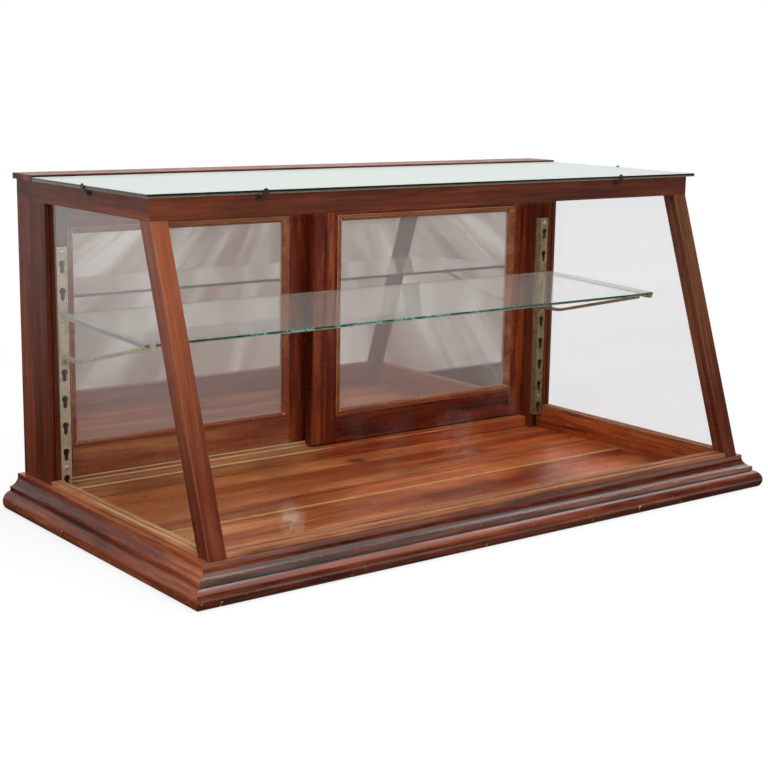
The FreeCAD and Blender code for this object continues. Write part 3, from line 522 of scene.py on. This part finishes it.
def glass_face(tree, place, smudge, sheen=0.0, dust_and_sheen_tone=None, bend=GLASS_BEND, marks=None):
    """Clear glass with a few smudges, which lets light through, with a pale painted sheen that grows as it
    is seen along its face.
    """
    tone = finishes()
    clear = add(tree, "BsdfPrincipled", {"Base Color": tone.glass_tint, "Roughness": 0.0, "IOR": bend,
                                         "Transmission Weight": 1.0})
    open_way = add(tree, "BsdfTransparent", {"Color": tone.glass_tint})
    pane = mix_shaders(tree, rays(tree, "Shadow", "Diffuse"), clear, open_way)
    dust_and_sheen = add(tree, "BsdfDiffuse", {"Color": dust_and_sheen_tone or tone.shelf_dust_and_sheen})
    cover = patches(tree, place, "smudges", smudge)
    if marks:
        cover = sums(tree, "ADD", cover, marks(tree, place))
    # The painted sheen: a pale matt layer that covers more of the glass the more nearly along its face it
    # is seen.
    if sheen:
        grazing = add(tree, "LayerWeight", {"Blend": 0.5}).outputs["Facing"]
        cover = sums(tree, "ADD", cover, span_of(tree, grazing, *SHEEN_ANGLES, 0.0, sheen))
    return mix_shaders(tree, cover, pane, dust_and_sheen)


def clear_glass(name, marks=None):
    """Old window glass."""
    material, tree = blank_material(name)
    return shown(material, glass_face(tree, object_place(tree), smudge=0.015, marks=marks))


FACE_REACH = 0.0001


def heights_at(node_name, y):
    """Lowest and highest corner of a node at its front or rear face."""
    corners = [corner.co for corner in NODES[node_name].data.vertices]
    rows = [spot.z for spot in corners if abs(spot.y - y) < FACE_REACH]
    return min(rows), max(rows)


def cut_glass(name, node_name, dark, pale, dust_and_sheen_tone, sheen, chips=0.0, bend=GLASS_BEND, ends=None):
    """Thick glass whose cut edges are deep green above and paler below, with bright chips."""
    material, tree = blank_material(name)
    place, normal = object_place(tree), add(tree, "TexCoord").outputs["Normal"]
    pane = glass_face(tree, place, smudge=0.03, sheen=sheen, dust_and_sheen_tone=dust_and_sheen_tone, bend=bend)
    low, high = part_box(node_name)
    front, rear = heights_at(node_name, low.y), heights_at(node_name, high.y)
    slope = (rear[0] - front[0]) / (high.y - low.y)
    behind = sums(tree, "SUBTRACT", along_axis(tree, place, "Y"), low.y, False)
    rise = sums(tree, "MULTIPLY", behind, slope, False)
    level = sums(tree, "SUBTRACT", along_axis(tree, place, "Z"), rise, False)
    ripple = times(tree, noise(tree, place, *EDGE_RIPPLE), 0.5)
    height = sums(tree, "SUBTRACT", sums(tree, "ADD", span_of(tree, level, *front), ripple), 0.25)
    green = ramp(tree, height, ((0.2, pale), (0.5, dark)))
    if chips:
        flecks = times(tree, patches(tree, place, "flecks", chips), patches(tree, place, "fleck clusters"))
        along = along_axis(tree, place, "X")
        near = times(tree, span_of(tree, along, 0.8 * low.x, 0.6 * low.x),
                     span_of(tree, along, 0.05 * high.x, 0.35 * high.x, 1.0, 0.15))
        green = blend(tree, times(tree, flecks, near), green, finishes().glass_chip)
    if ends:
        sideways = sums(tree, "ABSOLUTE", along_axis(tree, normal, "X"))
        green = blend(tree, span_of(tree, sideways, 0.6, 0.9, 0.0, 0.8), green, ends)
    edge = add(tree, "BsdfPrincipled", {"Base Color": green, "Roughness": 0.1, "IOR": GLASS_BEND})
    upward = along_axis(tree, normal, "Z")
    upright = span_of(tree, times(tree, upward, upward), 0.35, 0.65, 1.0, 0.0)
    return shown(material, mix_shaders(tree, upright, pane, edge))


def silvered_mirror(name):
    """Mirror glass with faint clouds and a few dark spots in the silver."""
    tone = finishes()
    material, tree = blank_material(name)
    place = object_place(tree)
    spots = patches(tree, place, "silver spots")
    silver = blend(tree, spots, tone.mirror, tone.mirror_spot)
    haze = patches(tree, place, "silver haze")
    return shown(material, add(tree, "BsdfPrincipled", {"Base Color": silver, "Metallic": 0.6,
                                                        "Roughness": haze}))


def dull_metal(name, bright, rough=0.38, tarnish=0.55):
    """Old plated or blackened metal with tarnish in clouds and fine scratches."""
    material, tree = blank_material(name)
    place = object_place(tree)
    clouds = patches(tree, place, "tarnish", tarnish)
    metal = blend(tree, clouds, bright, finishes().tarnish)
    roughness = span_of(tree, clouds, 0.0, 1.0, rough, rough + 0.25)
    scratched = bump(tree, noise(tree, place, *SCRATCHES), strength=0.12, depth=0.0004)
    surface = add(tree, "BsdfPrincipled", {"Base Color": metal, "Metallic": 0.55,
                                           "Roughness": roughness, "Normal": scratched})
    return shown(material, surface)


def dress(node_name, *materials):
    """Give a node its materials."""
    slots = NODES[node_name].data.materials
    slots.clear()
    for material in materials:
        slots.append(material)


WELD_REACH = 0.00001


def soften(node_name, width, edge_slot=-1, segments=2):
    """Round a node's sharp edges, and let the rounding show the given material."""
    piece = NODES[node_name]
    for face in piece.data.polygons:
        face.use_smooth = True
    weld = piece.modifiers.new("Joined corners", "WELD")
    weld.merge_threshold = WELD_REACH
    bevel = piece.modifiers.new("Rubbed edges", "BEVEL")
    bevel.width = width
    bevel.segments = segments
    bevel.limit_method = "ANGLE"
    bevel.angle_limit = math.radians(32)
    bevel.material = edge_slot
    even = piece.modifiers.new("Even shading", "WEIGHTED_NORMAL")
    even.weight = 95


def finish_wood(names, wood, edge, width=None):
    """Dress wooden nodes in a wood whose rubbed edges show another."""
    for name in names:
        dress(name, wood, edge)
        soften(name, width or sizes().edge_round, 1)


def finish_metal(names, metal):
    """Dress metal nodes, and round their edges."""
    for name in names:
        dress(name, metal)
        soften(name, sizes().metal_round)


def wood_pair(name, along, tones, **kinds):
    """A wood, and the lighter rubbed wood of its edges."""
    wood = varnished_wood(name, along, tones, **kinds)
    shared = {key: kinds[key] for key in ("lean", "gloss", "shine") if key in kinds}
    if "second" in kinds:
        other, mask = kinds["second"]
        shared["second"] = ((other[1], other[1], other[2]), mask)
    edge = varnished_wood(name + " edge", along, (tones[1], tones[1], tones[2]), worn_share=0.5,
                          worn=tuple(finishes().worn), **shared)
    return wood, edge


# Base rails: grain, the axis and way of the inner faces, shine, roughness, painted shade with dirt in the
# creases, painted shade under the nose.
BASE_RAILS = (
    ("front", "X", "Y", 1, 1.0, 0.12, 0.9, 0.5),
    ("left", "Y", "X", 1, 0.2, 0.2, 0.45, 0.25),
    ("right", "Y", "X", -1, 0.3, 0.2, 0.7, 0.4),
)
SILL_LEFT = (-0.03, 0.03)
SILL_REAR = 0.75
SILL_FADE = 0.005


class CASE_OT_base(bpy.types.Operator):
    """Dress the moulded base, the floor and the sill"""
    bl_idname = "case.base"
    bl_label = "Base and Floor"

    def execute(self, context):
        self.dress_rails()
        self.dress_floor()
        self.dress_sill()
        return {"FINISHED"}

    def dress_rails(self):
        """Moulded rails, whose inner faces show the floor's wood."""
        for rail, along, axis, way, shine, gloss, crease, under in BASE_RAILS:
            marks = (crease_shade_mark(crease), under_shade_mark(under), chip_mark)
            inner = (grain_of("floor"), facing(axis, way))
            finish_wood(["base_rail_" + rail],
                        *wood_pair("Base wood " + rail, along, grain_of("base"), worn_share=0.4,
                                   gloss=gloss, shine=shine, second=inner, marks=marks))

    def dress_floor(self):
        """Two boards, brighter at the left."""
        low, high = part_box("floor_board_front")
        bright = (grain_of("bright"), toward("X", 0.6 * low.x, 0.3 * high.x, 0.85))
        for board, marks in (("front", ()), ("rear", (knot_mark,))):
            finish_wood(["floor_board_" + board],
                        *wood_pair("Floor wood " + board, "X", grain_of("floor"), worn_share=0.2,
                                   late_marks=(right_shade_mark, seam_mark, *marks), figure=FLOOR_FIGURE,
                                   second=bright))

    def dress_sill(self):
        """The sill, rubbed bare at the left."""
        boards, bare = grain_of("floor"), grain_of("sill")
        low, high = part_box("door_sill")
        rear = low.y + SILL_REAR * (high.y - low.y)
        left_part = both(toward("X", *SILL_LEFT), toward("Y", rear, rear + SILL_FADE))
        rubbed = both(either(facing("Z", 1, 0.6), facing("Y", -1, 0.6)), left_part)
        wood = varnished_wood("Sill wood", "X", boards, gloss=0.35, marks=(rear_shade_mark,),
                              figure=QUIET_FIGURE, second=(bare, rubbed))
        edge = varnished_wood("Sill edge", "X", boards, gloss=0.35, marks=(rear_shade_mark,),
                              second=((bare[1], bare[2], bare[2]), left_part))
        finish_wood(["door_sill"], wood, edge, sizes().sill_round)


SIDE_SHINE = 0.12
POST_FADE = (0.12, 0.36)


class CASE_OT_frame(bpy.types.Operator):
    """Dress the posts, rails, jambs, header and back board"""
    bl_idname = "case.frame"
    bl_label = "Frame"

    def execute(self, context):
        tones = grain_of("frame")
        pane_low, pane_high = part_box("front_pane")
        lean = math.atan2(pane_high.y - pane_low.y, pane_high.z - pane_low.z)
        finish_wood(["top_rail_front", "door_header"],
                    *wood_pair("Rail wood long", "X", tones, figure=QUIET_FIGURE))
        finish_wood(["back_top_board"], *wood_pair("Board wood", "X", tones, shine=0.1))
        finish_wood(["top_rail_" + side for side in SIDES],
                    *wood_pair("Rail wood side", "Y", tones, shine=SIDE_SHINE, figure=QUIET_FIGURE))
        upright = [kind + side for kind in ("rear_post_", "door_jamb_", "rear_bead_") for side in SIDES]
        finish_wood(upright, *wood_pair("Upright wood", "Z", tones, shine=SIDE_SHINE, figure=QUIET_FIGURE))
        # Darker frame tones on the front posts, towards the bottom, and as painted shade on the faces that
        # look left.
        darker_low_and_shaded_left = (tones, either(toward("Z", *POST_FADE), facing("X", -1, 0.65)))
        for side, kind in zip(SIDES, ("post", "far")):
            finish_wood(["front_post_" + side],
                        *wood_pair("Post wood " + side, "Z", grain_of(kind), lean=lean, worn_share=0.5,
                                   figure=POST_FIGURE, second=darker_low_and_shaded_left))
        return {"FINISHED"}


class CASE_OT_beads(bpy.types.Operator):
    """Dress the glazing beads on the base"""
    bl_idname = "case.beads"
    bl_label = "Glazing Beads"

    def execute(self, context):
        for along, places in (("X", ("front",)), ("Y", SIDES)):
            names = [kind + place for kind in ("outer_bead_", "inner_bead_") for place in places]
            finish_wood(names, *wood_pair("Bead wood " + along, along, grain_of("bead"), gloss=0.4,
                                          worn_share=0.6))
        return {"FINISHED"}


class CASE_OT_glass(bpy.types.Operator):
    """Dress the panes and the top glass"""
    bl_idname = "case.glass"
    bl_label = "Glass"

    def execute(self, context):
        tone = finishes()
        dress("front_pane", clear_glass("Front glass", smudge_cover))
        pane = clear_glass("Pane glass")
        for side in SIDES:
            dress("side_pane_" + side, pane)
        dress("top_glass", cut_glass("Top glass", "top_glass", tone.glass_dark, tone.glass_pale,
                                     tone.top_dust_and_sheen, sheen=0.85))
        soften("top_glass", sizes().glass_round, segments=1)
        return {"FINISHED"}


def placed(name, data):
    """A new object in the scene."""
    piece = bpy.data.objects.new(name, data)
    bpy.context.scene.collection.objects.link(piece)
    return piece


def copy_of(node_name, name):
    """A copy of a node that may be reshaped, selected alone."""
    bpy.ops.object.select_all(action="DESELECT")
    piece = placed(name, NODES[node_name].data.copy())
    piece.data.name = name
    piece.select_set(True)
    bpy.context.view_layer.objects.active = piece
    return piece


def middle(edge):
    """Middle of an edge."""
    return (edge.verts[0].co + edge.verts[1].co) / 2


def pick(piece, kind, wanted):
    """Select in edit mode only the corners, edges or faces that are wanted."""
    bpy.ops.mesh.select_mode(type=kind)
    bpy.ops.mesh.select_all(action="DESELECT")
    mesh = bmesh.from_edit_mesh(piece.data)
    for item in getattr(mesh, kind.lower() + "s"):
        if wanted(item):
            item.select_set(True)
    mesh.select_flush_mode()
    bmesh.update_edit_mesh(piece.data)


SHELF_CUTS = 160
FRONT_REACH = 0.001
CHIPPED_PART = 0.98


class CASE_OT_shelf(bpy.types.Operator):
    """Model the glass shelf with its chipped front edge"""
    bl_idname = "case.shelf"
    bl_label = "Glass Shelf"

    def execute(self, context):
        shelf = copy_of("glass_shelf", "chipped_shelf")
        bpy.ops.object.mode_set(mode="EDIT")
        bpy.ops.mesh.select_all(action="SELECT")
        bpy.ops.mesh.remove_doubles(threshold=WELD_REACH)
        bpy.ops.mesh.dissolve_limited(angle_limit=math.radians(1))
        self.chip_front(shelf)
        bpy.ops.mesh.select_all(action="SELECT")
        bpy.ops.mesh.normals_make_consistent(inside=False)
        bpy.ops.object.mode_set(mode="OBJECT")
        tone = finishes()
        shelf.data.materials.clear()
        glass = cut_glass("Shelf glass", "glass_shelf", tone.shelf_dark, tone.shelf_pale, tone.shelf_dust_and_sheen,
                          sheen=0.14, chips=0.95, bend=1.3, ends=tone.shelf_side)
        shelf.data.materials.append(glass)
        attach(shelf, "shelf")
        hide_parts("glass_shelf")
        return {"FINISHED"}

    def chip_front(self, shelf):
        """Cut the two front edges into short lengths and push their corners in unevenly."""
        low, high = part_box("glass_shelf")
        depth, middle_height = sizes().chip_depth / 2, sum(heights_at("glass_shelf", low.y)) / 2

        def on_front(spot):
            return spot.y < low.y + FRONT_REACH

        def chipped(corner):
            return on_front(corner.co) and abs(corner.co.x) < CHIPPED_PART * high.x

        half = 0.5 * (high.x - low.x)
        pick(shelf, "EDGE", lambda edge: edge.calc_length() > half and on_front(middle(edge)))
        bpy.ops.mesh.subdivide(number_cuts=SHELF_CUTS)
        for way in (1, -1):
            pick(shelf, "VERT", lambda corner: chipped(corner) and (corner.co.z - middle_height) * way > 0)
            bpy.ops.transform.translate(value=(0, depth, -way * depth))
        pick(shelf, "VERT", chipped)
        bpy.ops.transform.vertex_random(offset=depth, uniform=0.0, normal=0.0, seed=4)


class CASE_OT_doors(bpy.types.Operator):
    """Dress the sliding mirror doors"""
    bl_idname = "case.doors"
    bl_label = "Mirror Doors"

    def execute(self, context):
        upright = wood_pair("Door wood upright", "Z", grain_of("door"), gloss=0.2)
        level = wood_pair("Door wood level", "X", grain_of("door"), gloss=0.2)
        # The left door's lower rail has lighter tones than the other rails.
        rubbed = wood_pair("Door wood rubbed", "X", grain_of("near"), gloss=0.2, figure=QUIET_FIGURE)
        trim = varnished_wood("Moulding wood", "X", grain_of("trim"), gloss=0.15, shine=0.6,
                              figure=QUIET_FIGURE)
        # The glint on the mouldings' rounded edges is a painted highlight.
        glint = varnished_wood("Moulding edge", "X", grain_of("glint"), figure=QUIET_FIGURE)
        panel = wood_pair("Panel wood", "X", grain_of("panel"), gloss=0.5)
        mirror = silvered_mirror("Silvered mirror")
        brass = dull_metal("Dull brass", finishes().brass, rough=0.3)
        for side, lower in zip(SIDES, (rubbed, level)):
            door = side + "_door_"
            finish_wood([door + "meeting_stile", door + "outer_stile"], *upright)
            finish_wood([door + "top_rail"], *level)
            finish_wood([door + "bottom_rail"], *lower)
            finish_wood([door + "moulding"], trim, glint, sizes().moulding_round)
            finish_wood([door + "back_panel"], *panel)
            dress(door + "mirror", mirror)
            finish_metal([door + "finger_pull", door + "glides"], brass)
        return {"FINISHED"}


class CASE_OT_metalwork(bpy.types.Operator):
    """Dress the shelf standards, brackets and clips"""
    bl_idname = "case.metalwork"
    bl_label = "Metalwork"

    def execute(self, context):
        tone = finishes()
        plated = (dull_metal("Dull nickel", tone.nickel, tarnish=0.35),
                  dull_metal("Brown nickel", tone.bronze, tarnish=0.7))
        kinds = ("shelf_standard_", "bracket_plate_", "bracket_arm_", "bracket_brace_")
        for side, metal in zip(SIDES, plated):
            finish_metal([kind + side for kind in kinds], metal)
        finish_metal(["glass_clips"], dull_metal("Blackened steel", tone.iron, rough=0.45, tarnish=0.25))
        return {"FINISHED"}


SCREW_SIDES = 24
SCREW_REACH = 0.03
SLOT_TURN = 1.1
RIM_SHARE = 0.25
# Steps of the dome: share of its height, and width of the head there.
DOME = ((0.45, 0.93), (0.3, 0.78), (0.25, 0.5))
# Slot: length and width in heads, depth in crowns.
SLOT_SIZE = (1.2, 0.16, 1.1)
FLAT_FACE = 0.9


def screw_boxes(node_name):
    """Lowest and highest corner of each separate screw in a node."""
    boxes = []
    for corner in NODES[node_name].data.vertices:
        for low, high in boxes:
            if (corner.co - low).length < SCREW_REACH:
                for axis in range(3):
                    low[axis] = min(low[axis], corner.co[axis])
                    high[axis] = max(high[axis], corner.co[axis])
                break
        else:
            boxes.append((corner.co.copy(), corner.co.copy()))
    return boxes


def slotted_screw(head, shank, reach):
    """A round-head wood screw up its own Z axis, with its seat at the origin and its shank below."""
    crown = sizes().screw_crown
    bpy.ops.object.select_all(action="DESELECT")
    rim = RIM_SHARE * crown
    bpy.ops.mesh.primitive_cylinder_add(vertices=SCREW_SIDES, radius=head / 2, depth=rim,
                                        location=(0, 0, rim / 2))
    screw = bpy.context.object
    bpy.ops.object.transform_apply(location=True, rotation=False, scale=False)
    bpy.ops.object.mode_set(mode="EDIT")
    pick(screw, "FACE", lambda face: face.normal.z > FLAT_FACE)
    top, width = rim, 1.0
    for share, wide in DOME:
        top += share * (crown - rim)
        bpy.ops.mesh.extrude_region_move(TRANSFORM_OT_translate={"value": (0, 0, share * (crown - rim))})
        bpy.ops.transform.resize(value=(wide / width, wide / width, 1), center_override=(0, 0, top))
        width = wide
    pick(screw, "FACE", lambda face: face.normal.z < -FLAT_FACE)
    bpy.ops.mesh.inset(thickness=(head - shank) / 2)
    bpy.ops.mesh.extrude_region_move(TRANSFORM_OT_translate={"value": (0, 0, -reach)})
    bpy.ops.object.mode_set(mode="OBJECT")
    bpy.ops.mesh.primitive_cube_add(size=1, location=(0, 0, crown))
    cutter = bpy.context.object
    cutter.scale = (SLOT_SIZE[0] * head, SLOT_SIZE[1] * head, SLOT_SIZE[2] * crown)
    bpy.ops.object.select_all(action="DESELECT")
    screw.select_set(True)
    bpy.context.view_layer.objects.active = screw
    slot = screw.modifiers.new("Slot", "BOOLEAN")
    slot.operation = "DIFFERENCE"
    slot.object = cutter
    bpy.ops.object.modifier_apply(modifier=slot.name)
    bpy.data.objects.remove(cutter)
    return screw


class CASE_OT_screws(bpy.types.Operator):
    """Model the slotted screws of the standards and the clips"""
    bl_idname = "case.screws"
    bl_label = "Slotted Screws"

    def execute(self, context):
        tone = finishes()
        self.replace("standard_screws", "slotted_standard_screws", "plated_steel",
                     dull_metal("Screw nickel", tone.nickel, rough=0.34, tarnish=0.9), shank_share=0.45)
        self.replace("clip_screws", "slotted_clip_screws", "dark_steel",
                     dull_metal("Screw steel", tone.iron, rough=0.4, tarnish=0.3), shank_share=0.48)
        return {"FINISHED"}

    def replace(self, node_name, name, slot, metal, shank_share):
        """Model one screw and set a copy of it at each of a node's screws."""
        boxes = screw_boxes(node_name)
        low, high = boxes[0]
        spans = sorted(high[axis] - low[axis] for axis in range(3))
        head, whole = spans[0], spans[2]
        model = slotted_screw(head, shank_share * head, whole - sizes().screw_crown - sizes().metal_round)
        bpy.ops.object.select_all(action="DESELECT")
        for number, (low, high) in enumerate(boxes):
            piece = placed(name, model.data.copy())
            piece.matrix_world = self.seat(low, high, number)
            piece.select_set(True)
            bpy.context.view_layer.objects.active = piece
        bpy.data.objects.remove(model)
        bpy.ops.object.join()
        bpy.ops.object.transform_apply(location=True, rotation=True, scale=True)
        screws = bpy.context.object
        screws.name = name
        bpy.ops.object.shade_smooth_by_angle(angle=math.radians(35))
        screws.data.materials.append(metal)
        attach(screws, "case")
        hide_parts(node_name)

    def seat(self, low, high, number):
        """Place and turn of a screw whose head looks out of the case."""
        spans = [high[axis] - low[axis] for axis in range(3)]
        axis = spans.index(max(spans))
        centre = (low + high) / 2
        outward = Vector((0, 0, 0))
        outward[axis] = -1 if axis == 1 or centre.x < 0 else 1
        end = low if outward[axis] < 0 else high
        centre[axis] = end[axis] - outward[axis] * sizes().screw_crown
        turn = Vector((0, 0, 1)).rotation_difference(outward).to_matrix().to_4x4()
        return Matrix.Translation(centre) @ turn @ Matrix.Rotation(SLOT_TURN * number, 4, "Z")


# Rays that show the background: straight, in a reflection or through glass.
SEEN = ("Camera", "Glossy", "Transmission")
WHITE = (1, 1, 1)
FLOOR_GREY = (0.9, 0.9, 0.9)
FLOOR_SPAN = 30.0
SHADOW_REACH = (0.75, 1.7)
# Lamps: power setting, place and width.
LAMPS = (
    ("Key", "key_power", (-1.3, -1.5, 2.4), 1.5),
    ("Fill", "fill_power", (2.4, 0.2, 1.9), 1.6),
    ("Top", "top_power", (0.1, 0.3, 2.5), 2.0),
)
SWEEP_SPAN = 8.0
SWEEP_RISE = 4.0
# Where the sweep's lit part ends upward, to the rear left and under the case, and where all of it fades.
SWEEP_HEIGHT = (0.0, 0.3)
SWEEP_EDGE = (0.1, 0.4)
# Under the case the sweep turns to its dark tone, as a painted shadow of the case.
SWEEP_CONTACT_SHADOW = (-0.315, -0.29)
SWEEP_FADE = (0.6, 3.6)
SWEEP_TURN = 0.96
SWEEP_LIFT = 0.0006


class CASE_OT_stage(bpy.types.Operator):
    """Make the pale floor, the grey sweep, the soft lights and the camera"""
    bl_idname = "case.stage"
    bl_label = "Stage"

    def execute(self, context):
        stage = context.scene.case_stage
        self.make_floor(stage)
        self.make_sweep(stage)
        self.make_lights(stage)
        self.make_world(stage)
        self.make_camera(stage)
        context.scene.view_settings.view_transform = "Standard"
        return {"FINISHED"}

    def plane(self, name, span, lift):
        """A flat square, selected alone."""
        bpy.ops.object.select_all(action="DESELECT")
        bpy.ops.mesh.primitive_plane_add(size=span, location=(0, 0, lift))
        bpy.context.object.name = name
        return bpy.context.object

    def make_floor(self, stage):
        """A wide pale floor that looks white and keeps a soft shadow round the case."""
        floor = self.plane("floor", FLOOR_SPAN, 0)
        material, tree = blank_material("Pale floor")
        away = vector_length(tree, object_place(tree))
        kept = span_of(tree, away, *SHADOW_REACH, stage.shadow_share, 0.0)
        share = times(tree, rays(tree, *SEEN), sums(tree, "SUBTRACT", 1.0, kept))
        matt = add(tree, "BsdfDiffuse", {"Color": FLOOR_GREY})
        white = add(tree, "Emission", {"Color": WHITE, "Strength": 1.0})
        floor.data.materials.append(shown(material, mix_shaders(tree, share, matt, white)))

    def make_sweep(self, stage):
        """A grey sweep under the case, in front of it and at its right, which only reflections show."""
        sweep = self.plane("sweep", SWEEP_SPAN, SWEEP_LIFT)
        bpy.ops.object.transform_apply(location=True, rotation=False, scale=False)
        bpy.ops.object.mode_set(mode="EDIT")
        pick(sweep, "EDGE", lambda edge: min(middle(edge).y, -middle(edge).x) < -0.49 * SWEEP_SPAN)
        bpy.ops.mesh.extrude_region_move(TRANSFORM_OT_translate={"value": (0, 0, SWEEP_RISE)})
        bpy.ops.object.mode_set(mode="OBJECT")
        sweep.data.materials.append(self.sweep_cloth(stage))
        for ray in ("camera", "diffuse", "shadow", "volume_scatter"):
            setattr(sweep, "visible_" + ray, False)

    def sweep_cloth(self, stage):
        """Soft grey folds for reflected rays, and nothing for the others."""
        material, tree = blank_material("Grey sweep")
        place = object_place(tree)
        across, back, up = (along_axis(tree, place, axis) for axis in "XYZ")
        folds = mapped(tree, mapped(tree, place, rotation=(0, 0, SWEEP_TURN)), scale=(0.1, 4.2, 0.2))
        tones = ramp(tree, noise(tree, folds, *FOLDS),
                     ((0.34, stage.sweep_dark), (0.5, stage.sweep_mid), (0.6, stage.sweep_light)))
        tones = blend(tree, patches(tree, folds, "brown folds"), tones, stage.sweep_brown)
        rear_left = sums(tree, "SUBTRACT", back, across, False)
        near = times(tree, span_of(tree, up, *SWEEP_HEIGHT, 1.0, 0.0),
                     span_of(tree, rear_left, *SWEEP_EDGE, 1.0, 0.0))
        near = times(tree, near, span_of(tree, back, *SWEEP_CONTACT_SHADOW, 1.0, 0.0))
        depth = add(tree, "LightPath").outputs["Glossy Depth"]
        lit = sums(tree, "MAXIMUM", near, sums(tree, "GREATER_THAN", depth, 1.5))
        # Past its lit part the sweep takes its dark tone, which under the case and beside its left side is
        # a painted shadow of the case.
        tones = blend(tree, lit, stage.sweep_dark_and_shadow, tones)
        cloth = add(tree, "Emission", {"Color": tones, "Strength": 1.0})
        nothing = add(tree, "BsdfTransparent")
        fade = span_of(tree, back, *SWEEP_FADE, 1.0, 0.0)
        mirrored = times(tree, sums(tree, "GREATER_THAN", depth, 0.5), fade)
        return shown(material, mix_shaders(tree, mirrored, nothing, cloth))

    def make_lights(self, stage):
        """Large soft lamps, all turned to the middle of the case."""
        centre = (Vector(CAD_BOX[0]) + Vector(CAD_BOX[1])) / 2
        for name, power, place, width in LAMPS:
            lamp = bpy.data.lights.new(name + " light", "AREA")
            lamp.energy = getattr(stage, power)
            lamp.size = width
            holder = placed(name + " light", lamp)
            holder.location = place
            holder.rotation_euler = (centre - Vector(place)).to_track_quat("-Z", "Y").to_euler()

    def make_world(self, stage):
        """Even light all round, seen as white."""
        world = bpy.data.worlds.new("Pale room")
        world.use_nodes = True
        tree = world.node_tree
        tree.nodes.clear()
        strength = span_of(tree, rays(tree, *SEEN), 0.0, 1.0, stage.room_light, 1.0)
        back = add(tree, "Background", {"Color": WHITE, "Strength": strength})
        feed(tree, add(tree, "OutputWorld").inputs["Surface"], back.outputs[0])
        bpy.context.scene.world = world

    def make_camera(self, stage):
        """The camera at the photograph's place and angle."""
        camera = bpy.data.cameras.new("Camera")
        camera.lens = stage.lens
        camera.clip_end = 100
        holder = placed("Camera", camera)
        ahead, upward = Vector(stage.ahead), Vector(stage.upward)
        right = ahead.cross(upward).normalized()
        upward = right.cross(ahead).normalized()
        turn = Matrix((right, upward, -ahead)).transposed()
        holder.matrix_world = Matrix.Translation(Vector(stage.eye)) @ turn.to_4x4()
        bpy.context.scene.camera = holder


OPERATORS = (CASE_OT_base, CASE_OT_frame, CASE_OT_beads, CASE_OT_glass, CASE_OT_shelf, CASE_OT_doors,
             CASE_OT_metalwork, CASE_OT_screws, CASE_OT_stage)


class CASE_PT_panel(bpy.types.Panel):
    """Steps and settings of the display case"""
    bl_label = "Display Case"
    bl_idname = "CASE_PT_panel"
    bl_space_type = "VIEW_3D"
    bl_region_type = "UI"
    bl_category = "Display Case"

    def draw(self, context):
        for operator in OPERATORS:
            self.layout.operator(operator.bl_idname)
        for group, kind in GROUPS:
            for name in kind.__annotations__:
                self.layout.prop(getattr(context.scene, group), name)


GROUPS = (("case_finishes", CaseFinishes), ("case_sizes", CaseSizes), ("case_stage", StageSettings))
CLASSES = tuple(kind for name, kind in GROUPS) + OPERATORS + (CASE_PT_panel,)


def register():
    """Make the settings, steps and panel known."""
    for kind in CLASSES:
        bpy.utils.register_class(kind)
    for name, kind in GROUPS:
        setattr(bpy.types.Scene, name, bpy.props.PointerProperty(type=kind))


def unregister():
    """Take the settings, steps and panel away again."""
    for name, kind in GROUPS:
        delattr(bpy.types.Scene, name)
    for kind in reversed(CLASSES):
        bpy.utils.unregister_class(kind)


def main():
    """Dress the case piece by piece."""
    register()
    for operator in OPERATORS:
        group, name = operator.bl_idname.split(".")
        getattr(getattr(bpy.ops, group), name)()


if __name__ == "__main__":
    main()
